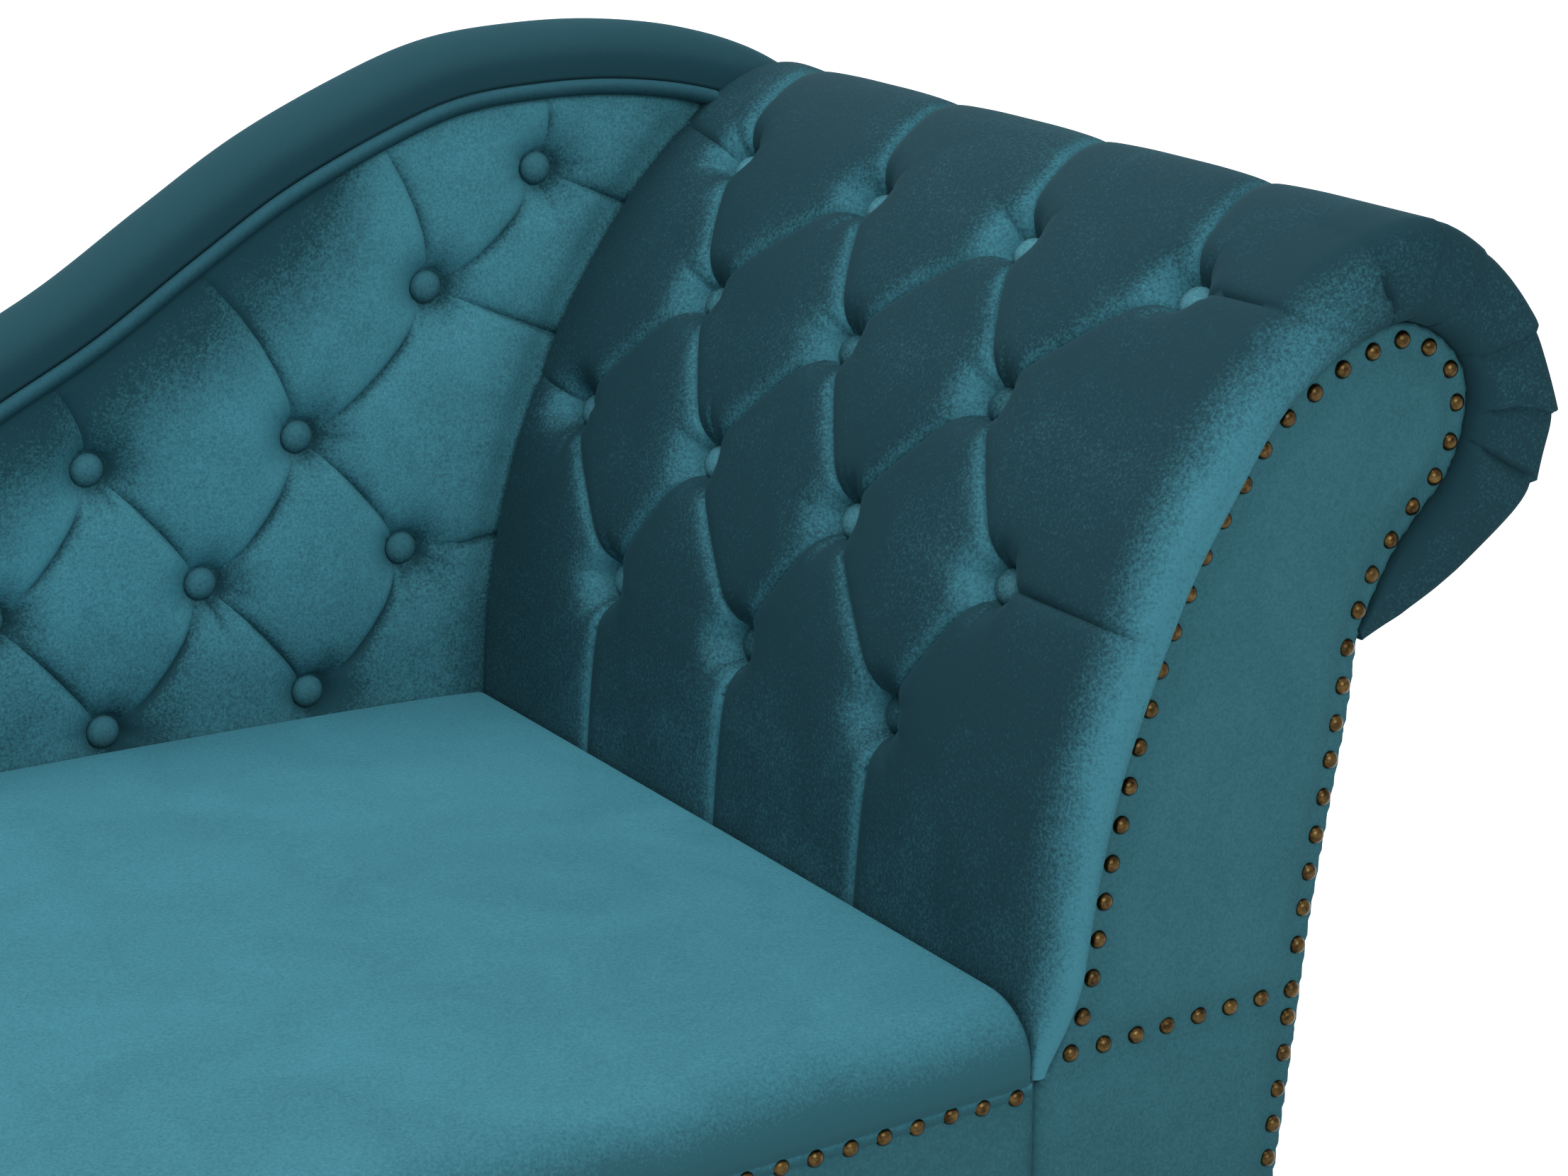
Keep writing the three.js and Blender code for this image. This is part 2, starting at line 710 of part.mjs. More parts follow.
// The back's frame between two places along it, standing on the base
function backFrameSlab(x0, x1) {
  const slab = throughDepth(backOutline(bandDrop, railTop + fit), frameFront, frameRear);
  return solidOf(slab).intersect(solidOf(box(x0, x1, front, rear, 0, overallHeight)));
}

// Everything lower than the frame's edge by a drop
function underEdge(drop) {
  const lowered = backOutline(bandDrop, 0).map(([x, z]) => [x, z - drop]);
  return solidOf(throughDepth(lowered, front, rear));
}

// A sawn top rail follows the edge from the post at the foot to the scroll board
function buildBackFrame() {
  const boardLeft = innerFace + scrollBoardSetback;
  const rail = backFrameSlab(left, boardLeft - fit).subtract(underEdge(topRailHeight));
  addPiece("back_top_rail", mainBody(rail), beech);
  const postRight = backLeft + bandDrop + postWidth;
  const post = backFrameSlab(left, postRight).intersect(underEdge(topRailHeight + fit));
  addPiece("back_post_left", mainBody(post), beech);
  const board = backFrameSlab(boardLeft, right).subtract(beyondOuterWall());
  addPiece("back_scroll_board", mainBody(board), plywood);
}

function buildOutsideBack() {
  const step = [[railLeft, legHeight], [railLeft, deckHeight]];
  const outline = [...step, ...backOutline(bandDrop, deckHeight).slice(0, -1),
    ...outerSide(0, legHeight).filter(([, z]) => z < deckHeight)];
  const panel = throughDepth(outline, rear - coverThickness, rear);
  addPiece("outside_back_panel", panel, shadedVelvet);
}

// Seat

function seatLines(from, to, count) {
  const near = seatCornerShares.map((share) => from + share * seatCornerRadius);
  const far = seatCornerShares.map((share) => to - share * seatCornerRadius).reverse();
  return [...near, ...evenly(near[near.length - 1], far[0], count).slice(0, -1), ...far];
}

// How far a rounded corner has dropped at a distance from the side
function cornerDrop(gap) {
  const short = Math.max(0, seatCornerRadius - gap);
  return seatCornerRadius - Math.sqrt(seatCornerRadius ** 2 - short ** 2);
}

function buildSeatPad() {
  const [x0, x1] = [left, innerFace - fit];
  const [y0, y1] = [facingFace - seatOverhang, crestPlane - fit];
  const swell = (at, from, to) => Math.sin((Math.PI * (at - from)) / (to - from));
  const drop = (at, from, to) => cornerDrop(Math.min(at - from, to - at));
  const rings = seatLines(x0, x1, seatColumns).map((x) => {
    const top = seatLines(y0, y1, seatRows).map((y) => {
      const crown = seatCrown * Math.sqrt(Math.max(0, swell(x, x0, x1) * swell(y, y0, y1)));
      const fall = Math.min(seatCornerRadius, Math.hypot(drop(x, x0, x1), drop(y, y0, y1)));
      return [x, y, padFoot + seatEdgeHeight + crown - fall];
    });
    return [...top, [x, y1, padFoot], [x, y0, padFoot]];
  });
  addPiece("seat_pad", loft(rings, (p) => [p[1], p[2]]), velvet);
}

function buildRailCovers() {
  const ends = [coverLeft, seamX - fit, facingFace, facingRear, legHeight, deckHeight];
  addPiece("front_rail_cover", box(...ends), velvet);
  const sides = [coverLeft, coverLeft + coverThickness, boardFront, rear, legHeight, deckHeight];
  addPiece("end_rail_cover", box(...sides), velvet);
}

// Base frame

const armRailLeft = seamX + boardMargin;
const armRailRight = armRailLeft + railThickness;
const baseRight = outerSide(boardMargin, legHeight).reduce((a, [x]) => Math.min(a, x), right) - fit;
const frontRailRear = boardFront + railThickness;

function buildBase() {
  const between = [frontRailRear + fit, rearRailFront - fit];
  const standing = [legHeight, railTop];
  const rails = {
    front_rail: [railLeft, armRailLeft - fit, boardFront, frontRailRear],
    rear_rail: [railLeft, baseRight, rearRailFront, frameRear],
    end_rail_left: [railLeft, railLeft + railThickness, ...between],
    end_rail_right: [baseRight - railThickness, baseRight, boardRear + fit, between[1]],
    arm_inner_rail: [armRailLeft, armRailRight, boardRear + fit, between[1]],
  };
  for (const [name, plan] of Object.entries(rails)) addPiece(name, box(...plan, ...standing), beech);
  const middle = (railLeft + innerFace) / 2;
  const [x0, x1] = [middle - stretcherWidth / 2, middle + stretcherWidth / 2];
  addPiece("centre_stretcher", box(x0, x1, ...between, legHeight, legHeight + railThickness), beech);
}

// A board across each end takes two legs, whose tops pass the dust cover
function buildLegs() {
  const boardLeft = railLeft + railThickness + fit;
  const boards = {
    left: [boardLeft, boardLeft + legBoardWidth, frontRailRear + fit],
    right: [armRailRight + fit, baseRight - railThickness - fit, boardRear + fit],
  };
  const boardEnd = rearRailFront - fit;
  let cloth = solidOf(box(railLeft, baseRight, boardFront, frameRear,
    legHeight - fit - dustCoverThickness, legHeight - fit));
  for (const [side, [x0, x1, y0]] of Object.entries(boards)) {
    const board = box(x0, x1, y0, boardEnd, legHeight, legHeight + legBoardHeight);
    addPiece(`leg_board_${side}`, board, beech);
    const places = { front: y0 + legInset, rear: boardEnd - legInset };
    for (const [end, y] of Object.entries(places)) {
      const leg = turned(legShares, legRadius, legHeight - fit, legSides);
      addPiece(`leg_${end}_${side}`, leg.translate((x0 + x1) / 2, y, 0), darkWood);
      const hole = turned(plugShares, legRadius + fit, deckHeight, legSides);
      cloth = cloth.subtract(solidOf(hole.translate((x0 + x1) / 2, y, 0)));
    }
  }
  addPiece("dust_cover", cloth, blackCloth);
}

// Zigzag springs hooked over the front and rear rails, tied across by one wire
function buildSprings() {
  const [y0, y1] = [frontRailRear + fit, rearRailFront - fit];
  const span = innerFace - railLeft;
  const count = Math.floor(span / springPitch);
  const bottom = railTop + fit;
  const turns = Math.round((y1 - y0) / springStep);
  const middles = Array.from({ length: count }, (_, k) => railLeft + ((k + 0.5) * span) / count);
  const middle = (y0 + y1) / 2;
  const tie = box(middles[0], middles[count - 1], middle, middle + springWire, 0, springWire);
  let wires = solidOf(tie.translate(0, 0, bottom));
  for (const x of middles) {
    const zigzag = [y0, ...evenly(y0, y1, turns)].map((y, t) => [
      x + (t % 2 === 0 ? -springSwing : springSwing) / 2, y]);
    const run = [[x, y0 - springHook], ...zigzag, [x, y1 + springHook]];
    const outline = [...offsetLine(run, springWire / 2),
      ...offsetLine(run, -springWire / 2).reverse()];
    const options = { depth: springWire, bevelEnabled: false };
    const wire = new THREE.ExtrudeGeometry(shapeOf(outline), options);
    wires = wires.add(solidOf(wire.translate(0, 0, bottom)));
  }
  addPiece("seat_springs", mainBody(wires), steel);
}

// Nails

// Places at even steps along a line, as near the nail pitch as its length allows
function nailPlaces(line, toPlace) {
  const curve = curveThrough(line);
  const count = Math.max(1, Math.round(curve.getLength() / nailPitch));
  return spacedPoints(curve, count).map(toPlace);
}

function nailHeads(places, outward) {
  return places.map((place) =>
    solidOf(seatedOn(turned(nailShares, nailRadius, nailHeight, nailSides), place, outward)));
}

// A flat tape along a line on the facing
function facingTape(line, y) {
  const half = tapeWidth / 2;
  const outline = [...offsetLine(line, half), ...offsetLine(line, -half).reverse()];
  return solidOf(throughDepth(outline, y - tapeThickness, y));
}

function buildArmNails() {
  const toFront = new THREE.Vector3(0, -1, 0);
  const under = facingFace - fit;
  const onTape = ([x, z]) => new THREE.Vector3(x, under - tapeThickness / 2, z);
  const inset = facingOutline(nailInset, legHeight + nailRadius);
  const round = inset.slice(inset.findIndex(([, z]) => z > deckHeight + nailInset));
  const level = lineAbove(inset, round[0][1]);
  const across = [round[0], level[level.length - 1]];
  const heads = [round, across].flatMap((line) => nailHeads(nailPlaces(line, onTape), toFront));
  const tapes = facingTape(round, under).add(facingTape(across, under));
  addPiece("arm_nail_row", heads.reduce((a, b) => a.add(b), tapes), brass);
}

// One row under the seat's front edge turns the corner and runs along the foot end
function buildRailNails() {
  const middle = deckHeight - nailDrop;
  const [low, high] = [middle - tapeWidth / 2, middle + tapeWidth / 2];
  const [side, face] = [coverLeft - fit, facingFace - fit];
  const [sideOuter, faceOuter] = [side - tapeThickness, face - tapeThickness];
  const tapes = solidOf(box(sideOuter, seamX - fit, faceOuter, face, low, high))
    .add(solidOf(box(sideOuter, side, faceOuter, crestPlane, low, high)));
  const along = [[innerFace - nailPitch / 2, 0], [side + nailPitch / 2, 0]];
  const onFront = ([x]) => new THREE.Vector3(x, face - tapeThickness / 2, middle);
  const back = [[face + nailPitch / 2, 0], [crestPlane - nailRadius, 0]];
  const onEnd = ([y]) => new THREE.Vector3(side - tapeThickness / 2, y, middle);
  const heads = [...nailHeads(nailPlaces(along, onFront), new THREE.Vector3(0, -1, 0)),
    ...nailHeads(nailPlaces(back, onEnd), new THREE.Vector3(-1, 0, 0))];
  addPiece("rail_nail_row", heads.reduce((a, b) => a.add(b), tapes), brass);
}

buildArmPad();
buildArmBoards();
buildArmFormer();
buildOuterArm();
buildBackPad();
buildBackRoll();
buildPiping();
buildBackFrame();
buildOutsideBack();
buildSeatPad();
buildRailCovers();
buildBase();
buildLegs();
buildSprings();
buildArmNails();
buildRailNails();

export default chaise;
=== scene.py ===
"""A chaise with one scrolled arm, a low swept back and deep button tufting, in teal velvet.

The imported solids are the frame. Every soft part is modelled again around them as a fine mesh.
Lengths are in metres and +Z is up: the arm is at +X and the back at +Y.
"""
import math

import bpy
import numpy as np
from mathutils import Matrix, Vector
from mathutils.geometry import delaunay_2d_cdt
from mathutils.kdtree import KDTree


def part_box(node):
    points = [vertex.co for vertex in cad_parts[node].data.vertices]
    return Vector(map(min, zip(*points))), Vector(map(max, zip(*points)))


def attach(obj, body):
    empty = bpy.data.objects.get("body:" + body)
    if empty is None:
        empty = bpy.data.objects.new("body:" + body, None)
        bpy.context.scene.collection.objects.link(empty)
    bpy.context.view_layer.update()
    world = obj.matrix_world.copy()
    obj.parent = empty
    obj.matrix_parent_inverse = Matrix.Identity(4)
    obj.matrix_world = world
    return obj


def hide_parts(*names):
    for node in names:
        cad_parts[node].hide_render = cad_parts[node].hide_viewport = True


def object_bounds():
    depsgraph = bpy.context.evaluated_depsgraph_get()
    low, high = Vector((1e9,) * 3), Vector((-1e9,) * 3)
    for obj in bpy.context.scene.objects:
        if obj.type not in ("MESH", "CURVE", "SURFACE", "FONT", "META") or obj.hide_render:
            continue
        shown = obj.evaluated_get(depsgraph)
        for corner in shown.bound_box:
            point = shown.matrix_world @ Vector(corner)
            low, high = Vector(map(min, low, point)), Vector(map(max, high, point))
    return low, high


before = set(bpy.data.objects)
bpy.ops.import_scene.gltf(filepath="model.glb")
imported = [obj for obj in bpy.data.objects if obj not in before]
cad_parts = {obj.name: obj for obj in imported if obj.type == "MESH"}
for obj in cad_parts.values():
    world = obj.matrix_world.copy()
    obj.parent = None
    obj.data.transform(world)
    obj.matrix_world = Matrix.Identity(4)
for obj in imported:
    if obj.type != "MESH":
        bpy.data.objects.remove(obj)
solids_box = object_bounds()
MM = 0.001

# Places that the frame gives: the lowest and highest corners of its nodes
ARM_LOW, ARM_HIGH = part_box("arm_pad")
RAIL_LOW, RAIL_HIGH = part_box("front_rail_cover")
SEAT_LOW, SEAT_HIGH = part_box("seat_pad")
PANEL_LOW, PANEL_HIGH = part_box("arm_facing_panel")
BACK_LOW, BACK_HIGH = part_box("back_pad")
ROLL_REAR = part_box("back_edge_roll")[1].y
COVER_LOW, COVER_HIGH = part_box("outside_back_panel")
WHOLE_LOW, WHOLE_HIGH = solids_box

# The deck under the seat, the arm's inner face and the foremost plane of the back's padding
DECK = RAIL_HIGH.z
INNER_FACE = ARM_LOW.x
CREST = BACK_LOW.y
ARM_REACH = WHOLE_HIGH.x - INNER_FACE
# The height that the chaise is drawn to, and how far the arm's crown stays under it
WHOLE_HEIGHT = 803 * MM
ARM_DROP = 34 * MM
# How far the rolled band stands out past the back's edge, and how far it laps over the rear
BAND_RISE = 33 * MM
BAND_DROP = 20 * MM
# The clearance between neighbouring pieces
FIT = 0.3 * MM
ARM_RISE = WHOLE_HEIGHT - ARM_DROP - DECK
HUMP_RISE = WHOLE_HEIGHT - BAND_RISE - FIT - DECK
BACK_LEFT = WHOLE_LOW.x + BAND_RISE + FIT

# The arm's padded skin from the deck over the scroll to its underside: shares of the arm's reach
# and of its rise over the deck
SKIN_SHARES = [
    (0, 0), (0.006, 0.13), (0.018, 0.248), (0.045, 0.365), (0.09, 0.484), (0.155, 0.602),
    (0.239, 0.719), (0.348, 0.833), (0.472, 0.929), (0.578, 0.98), (0.674, 0.997), (0.762, 0.98),
    (0.85, 0.936), (0.928, 0.868), (0.994, 0.773), (0.995, 0.683), (0.927, 0.601), (0.773, 0.518),
    (0.63, 0.468),
]
# The facing panel's edge, in the same shares, and its foot
SEAM_SHARE = 0.009
FACING_SHARES = [
    (0.009, -0.017), (0.059, 0.047), (0.083, 0.118), (0.101, 0.2), (0.122, 0.283), (0.148, 0.365),
    (0.178, 0.448), (0.214, 0.528), (0.261, 0.608), (0.326, 0.686), (0.409, 0.771), (0.519, 0.83),
    (0.644, 0.865), (0.709, 0.861), (0.774, 0.832), (0.819, 0.783), (0.819, 0.715),
    (0.789, 0.658), (0.745, 0.623), (0.7, 0.585), (0.671, 0.552), (0.644, 0.512), (0.623, 0.472),
    (0.611, 0.382), (0.585, 0.265), (0.552, 0.106), (0.528, -0.066), (0.501, -0.239),
]
FACING_FOOT_SHARES = (0.411, -0.814)
# The back's edge: shares of its length and of the hump's rise, then shares of the arm
SWEEP_SHARES = [
    (0.17, 0.266), (0.322, 0.308), (0.474, 0.372), (0.588, 0.452), (0.665, 0.518), (0.719, 0.584),
    (0.762, 0.648), (0.807, 0.715), (0.857, 0.807), (0.904, 0.889), (0.956, 0.955),
    (0.996, 0.991),
]
SWEEP_END_SHARES = [
    (0.148, 1.002), (0.312, 0.997), (0.481, 0.974), (0.629, 0.932), (0.742, 0.868),
    (0.807, 0.797), (0.825, 0.724), (0.792, 0.66), (0.745, 0.623), (0.7, 0.585), (0.671, 0.552),
    (0.644, 0.512), (0.63, 0.486),
]
FOOT_CORNER_SHARE = 0.25
FOOT_CORNER_RADIUS = 52 * MM
# Section of the rolled band, from the pad over to the rear: shares of its rise and of its depth
BAND_SHARES = [
    (0, 0.01), (0.5, 0.01), (0.85, 0.1), (1, 0.25), (0.94, 0.37), (0.67, 0.51), (0.27, 0.64),
    (-0.09, 0.78), (-0.33, 0.9),
]


# Lines

def spline(points, steps=16):
    """A smooth line through points, drawn as the solids' own curves are."""
    points = np.asarray(points, float)
    padded = np.vstack([points[:1], points, points[-1:]])
    t = np.linspace(0, 1, steps, endpoint=False)[:, None]
    parts = []
    for a, b, c, d in zip(padded, padded[1:], padded[2:], padded[3:]):
        into, out = (c - a) / 2, (d - b) / 2
        cubic = (2 * b - 2 * c + into + out) * t**3
        square = (-3 * b + 3 * c - 2 * into - out) * t**2
        parts.append(cubic + square + into * t + b)
    return np.vstack([*parts, points[-1:]])


def lengths(line):
    """How far along a line each of its points lies."""
    steps = np.linalg.norm(np.diff(line, axis=0), axis=1)
    return np.concatenate([[0], np.cumsum(steps)])


def at(line, along):
    """Places at distances along a line."""
    run = lengths(line)
    return np.stack([np.interp(along, run, column) for column in line.T], axis=-1)


def spaced(line, spacing):
    """The line again, in even steps near a spacing."""
    total = lengths(line)[-1]
    count = max(1, round(total / spacing))
    return at(line, np.linspace(0, total, count + 1))


def across(line):
    """Unit ways to the left of a line's direction, at its points."""
    heading = np.gradient(line, axis=0)
    heading /= np.linalg.norm(heading, axis=1)[:, None]
    return np.stack([-heading[:, 1], heading[:, 0]], axis=1)


def offset(line, step):
    return line + across(line) * step


def closed(outline):
    """An outline with its first point again at its end."""
    return np.vstack([outline, outline[:1]])


def circle(count):
    """Points round a circle of radius 1."""
    angles = np.linspace(0, 2 * math.pi, count, endpoint=False)
    return np.stack([np.cos(angles), np.sin(angles)], axis=1)


def rectangle(low, high):
    """The corners of an upright rectangle, from its lowest one on."""
    return np.array([low, (high[0], low[1]), high, (low[0], high[1])])


def arm_point(share):
    """The place (x, z) at shares of the arm's reach and of its rise over the deck."""
    return INNER_FACE + share[0] * ARM_REACH, DECK + share[1] * ARM_RISE


def sweep_point(share):
    """The place at shares of the back's length up to the arm and of the hump's rise."""
    return BACK_LEFT + share[0] * (INNER_FACE - BACK_LEFT), DECK + share[1] * HUMP_RISE


def above(line, level):
    """The part of a line above a level, with its ends cut on that level."""
    kept = []
    for before, place in zip(np.vstack([line[:1], line]), line):
        if (place[1] > level) != (before[1] > level):
            share = (level - before[1]) / (place[1] - before[1])
            kept.append(before + share * (place - before))
        if place[1] > level:
            kept.append(place)
    return np.array(kept)


def arm_skin():
    """The arm's padded skin in even steps, scaled so that it is as wide as the arm's reach."""
    widest = spline(SKIN_SHARES, 40)[:, 0].max()
    return spaced(spline([arm_point((x / widest, z)) for x, z in SKIN_SHARES], 40), 1.5 * MM)


SKIN = arm_skin()
SKIN_OUT = across(SKIN)
SKIN_RUN = lengths(SKIN)
SKIN_LENGTH = SKIN_RUN[-1]
FACING = np.vstack([
    [arm_point((SEAM_SHARE, 0))[0], 0],
    spline([arm_point(share) for share in FACING_SHARES]),
    [arm_point(FACING_FOOT_SHARES)],
])


def back_edge():
    """The back's edge: up its foot end, round the corner, along the sweep and the scroll."""
    top = sweep_point((0, FOOT_CORNER_SHARE))[1]
    t = np.linspace(0, 1, 12)[:, None]
    knee = (1 - t) ** 2 * (BACK_LEFT, top - FOOT_CORNER_RADIUS)
    knee = knee + 2 * t * (1 - t) * (BACK_LEFT, top)
    knee = knee + t**2 * (BACK_LEFT + FOOT_CORNER_RADIUS, top)
    sweep = [knee[-1], *map(sweep_point, SWEEP_SHARES), *map(arm_point, SWEEP_END_SHARES)]
    return spaced(np.vstack([[BACK_LEFT, DECK + FIT], knee, spline(sweep)[1:]]), 4 * MM)


BACK_EDGE = back_edge()


def smooth(t):
    """From 0 to 1, easing in and out."""
    t = np.clip(t, 0, 1)
    return t * t * (3 - 2 * t)


def rounded(gap, radius):
    """How far a rounded edge has dropped at a distance from the edge."""
    short = radius - np.clip(gap, 0, radius)
    return radius - np.sqrt(radius**2 - short**2)


def upright(places, y):
    """The points in space of places (x, z), at a depth y or each at its own."""
    return np.stack([places[:, 0], np.broadcast_to(y, len(places)), places[:, 1]], axis=1)


def middle(node):
    low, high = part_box(node)
    return (low + high) / 2


def numbered(start):
    """The names of the frame's nodes that begin so, in order of their last number."""
    return sorted((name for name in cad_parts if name.startswith(start)),
                  key=lambda name: int(name.rsplit("_", 1)[1]))


# Nets of triangles

# The least distance between a net's points inside its outline
CLOSEST = 1.3 * MM


def inside(outline, places):
    """Which places lie inside a closed outline."""
    hit = np.zeros(len(places), bool)
    x, z = places[:, 0], places[:, 1]
    for (x0, z0), (x1, z1) in zip(outline, np.roll(outline, -1, axis=0)):
        if z0 == z1:
            continue
        crossing = x0 + (z - z0) * (x1 - x0) / (z1 - z0)
        hit ^= ((z0 > z) != (z1 > z)) & (x < crossing)
    return hit


def segment_distance(places, start, end):
    """Distance of places from a segment, and the share along it of their nearest point."""
    run = np.subtract(end, start)
    share = np.clip((places - start) @ run / (run @ run), 0, 1)
    return np.linalg.norm(places - start - share[:, None] * run, axis=1), share


def line_distance(places, line):
    """Distance of places from the nearest point of a fine line."""
    tree = KDTree(len(line))
    for k, (x, z) in enumerate(line):
        tree.insert((x, z, 0), k)
    tree.balance()
    return np.array([tree.find((x, z, 0))[2] for x, z in places])


def thinned(places, gap):
    """Places in their order, without each that lies nearer than a gap to one before it."""
    cells, kept = {}, []
    for place in places:
        column, row = int(place[0] // gap), int(place[1] // gap)
        close = [other for i in (-1, 0, 1) for j in (-1, 0, 1)
                 for other in cells.get((column + i, row + j), [])]
        if all(math.dist(place, other) > gap for other in close):
            cells.setdefault((column, row), []).append(place)
            kept.append(place)
    return np.array(kept)


def net(outline, lines, spacing, dots=None):
    """Even triangles inside a closed outline, with edges along its sides and along the lines.

    dots are places where the net is finer. Returns the places and the triangles. The outline's
    own points come first, in order.
    """
    border = closed(outline)
    kept = []
    for line in lines:
        free = inside(outline, line) & (line_distance(line, border) > spacing / 4)
        if free.sum() > 1:
            first = np.argmax(free)
            stop = first + np.argmin(np.append(free[first:], False))
            kept.append(line[first:stop])
    low, high = outline.min(0), outline.max(0)
    row_step = spacing * math.sqrt(3) / 2
    rows = np.arange(low[1] + row_step / 2, high[1], row_step)
    columns = np.arange(low[0] + spacing / 2, high[0], spacing)
    grid = np.array([(x + spacing / 2 * (k % 2), z) for k, z in enumerate(rows) for x in columns])
    grid = grid[inside(outline, grid)]
    fixed = np.vstack([outline, *kept])
    if dots is not None:
        dots = thinned(dots[inside(outline, dots)], CLOSEST)
        dots = dots[line_distance(dots, fixed) > CLOSEST]
        grid = grid[line_distance(grid, dots) > 0.5 * spacing]
        grid = np.vstack([grid, dots])
    grid = grid[line_distance(grid, fixed) > CLOSEST]
    count = len(outline)
    edges = [(k, (k + 1) % count) for k in range(count)]
    for line in kept:
        edges += [(count + k, count + k + 1) for k in range(len(line) - 1)]
        count += len(line)
    grid = grid[line_distance(grid, border) > spacing / 4]
    places = [Vector(p) for p in np.vstack([fixed, grid])]
    made = delaunay_2d_cdt(places, edges, [], 1, 1e-7)
    order = {first: k for k, sources in enumerate(made[3]) for first in sources}
    size = len(outline)
    rank = [order[k] for k in range(size)]
    taken = set(rank)
    rank += [k for k in range(len(made[0])) if k not in taken]
    back = np.empty(len(rank), int)
    back[rank] = np.arange(len(rank))
    return np.array([made[0][k] for k in rank]), back[np.array(made[2])]


def turned_right(places, faces):
    """The same triangles, all wound the way that faces up."""
    a, b, c = (places[faces[:, k]] for k in range(3))
    doubled = np.cross(b - a, c - a)
    return np.where((doubled < 0)[:, None], faces[:, ::-1], faces)


def padded_shell(outline, creases, spacing, outer, inner, dots):
    """A closed body whose outer face is a fine net and whose inner face is a coarse one.

    outer and inner give the points in space of places on the net. The two faces share the
    outline, and a wall joins them there. Returns the fine net's places, and the points, the faces
    and the sharp edges of the body.
    """
    places, faces = net(outline, creases, spacing, dots)
    hidden, hidden_faces = net(outline, [], 8 * spacing)
    size, count = len(outline), len(places)
    points = np.vstack([outer(places), inner(hidden)])
    near = turned_right(places, faces)
    far = turned_right(hidden, hidden_faces)[:, ::-1] + count
    ring = range(size)
    forward = np.cross(outline, np.roll(outline, -1, axis=0)).sum() > 0
    walls = [(k, count + k, count + (k + 1) % size, (k + 1) % size) for k in ring]
    if not forward:
        walls = [wall[::-1] for wall in walls]
    on_crease = np.zeros(count, bool)
    if creases:
        on_crease = line_distance(places, np.vstack(creases)) < 0.05 * MM
    edges = {tuple(sorted(pair)) for face in near for pair in zip(face, np.roll(face, -1))}
    sharp = [pair for pair in edges if on_crease[pair[0]] and on_crease[pair[1]]]
    sharp += [tuple(sorted((k, (k + 1) % size))) for k in ring]
    return places, points, [*map(tuple, near), *map(tuple, far), *walls], sharp


def loft(rings):
    """A closed body over rings of equal counts, with a lid on the first and the last."""
    count, last = len(rings[0]), (len(rings) - 1) * len(rings[0])
    faces = [(a + k, a + (k + 1) % count, a + count + (k + 1) % count, a + count + k)
             for a in range(0, last, count) for k in range(count)]
    faces += [tuple(reversed(range(count))), tuple(range(last, last + count))]
    rims = [(a + k, a + (k + 1) % count) for a in (0, last) for k in range(count)]
    return np.vstack(rings), faces, [tuple(sorted(rim)) for rim in rims]


def turned(profile, sides):
    """A closed round body: its half outline runs from the top of its axis to its foot."""
    angles = np.linspace(0, 2 * math.pi, sides, endpoint=False)
    rings = [[(r * math.cos(a), r * math.sin(a), h) for a in angles] for r, h in profile[1:]]
    top, foot = len(rings) * sides, (len(rings) - 1) * sides
    faces = []
    for k in range(sides):
        j = (k + 1) % sides
        faces.append((top, k, j))
        faces += [(a + k, a + sides + k, a + sides + j, a + j) for a in range(0, foot, sides)]
    faces.append(tuple(foot + k for k in reversed(range(sides))))
    return np.vstack([*rings, [(0, 0, profile[0][1])]]), faces


def seated(points, outward, place):
    """Points turned from +Z to an outward way and moved to a place."""
    turn = Vector((0, 0, 1)).rotation_difference(Vector(outward)).to_matrix()
    return points @ np.array(turn).T + np.array(place)


def add_piece(name, points, faces, material, nodes, sharp=()):
    """A piece of the part as one smooth mesh, riding on the frame in place of its nodes."""
    mesh = bpy.data.meshes.new(name)
    mesh.from_pydata([tuple(p) for p in points], [], [tuple(map(int, f)) for f in faces])
    mesh.calc_loop_triangles()
    corners = np.empty(3 * len(mesh.loop_triangles), int)
    mesh.loop_triangles.foreach_get("vertices", corners)
    a, b, c = (np.asarray(points)[corners[k::3]] for k in range(3))
    if np.sum(a * np.cross(b, c)) < 0:
        mesh.flip_normals()
    mesh.shade_smooth()
    if len(sharp):
        edge_of = {tuple(sorted(edge.vertices)): edge for edge in mesh.edges}
        for pair in sharp:
            if tuple(map(int, pair)) in edge_of:
                edge_of[tuple(map(int, pair))].use_edge_sharp = True
    mesh.materials.append(material)
    piece = bpy.data.objects.new(name, mesh)
    bpy.context.scene.collection.objects.link(piece)
    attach(piece, "root")
    if nodes:
        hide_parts(*nodes)
    return piece


def add_padding(name, outline, spacing, outer, inner, material, nodes, creases=(), dots=None,
                nap=None):
    """A velvet piece as a padded shell, with painted light and shade on its net if given."""
    places, points, faces, sharp = padded_shell(outline, creases, spacing, outer, inner, dots)
    piece = add_piece(name, points, faces, material, nodes,
                      sharp if creases else ())
    if nap is not None:
        add_painted_shading(piece, nap(places))
    return piece


def add_loft(name, rings, material, node):
    """A velvet piece over rings, with sharp rims round its two lids."""
    points, faces, sharp = loft(rings)
    add_piece(name, points, faces, material, [node], sharp)


def add_painted_shading(piece, light):
    """Writes how much lighter or darker the first points of a piece are painted, one value for
    each.
    """
    values = np.zeros(len(piece.data.vertices), np.float32)
    values[:len(light)] = light
    piece.data.attributes.new("nap", "FLOAT", "POINT").data.foreach_set("value", values)


# Materials

def colour(code):
    """An sRGB hex colour as the linear values that a shader takes."""
    shares = [int(code[k:k + 2], 16) / 255 for k in (1, 3, 5)]
    return [s / 12.92 if s <= 0.04045 else ((s + 0.055) / 1.055) ** 2.4 for s in shares] + [1]


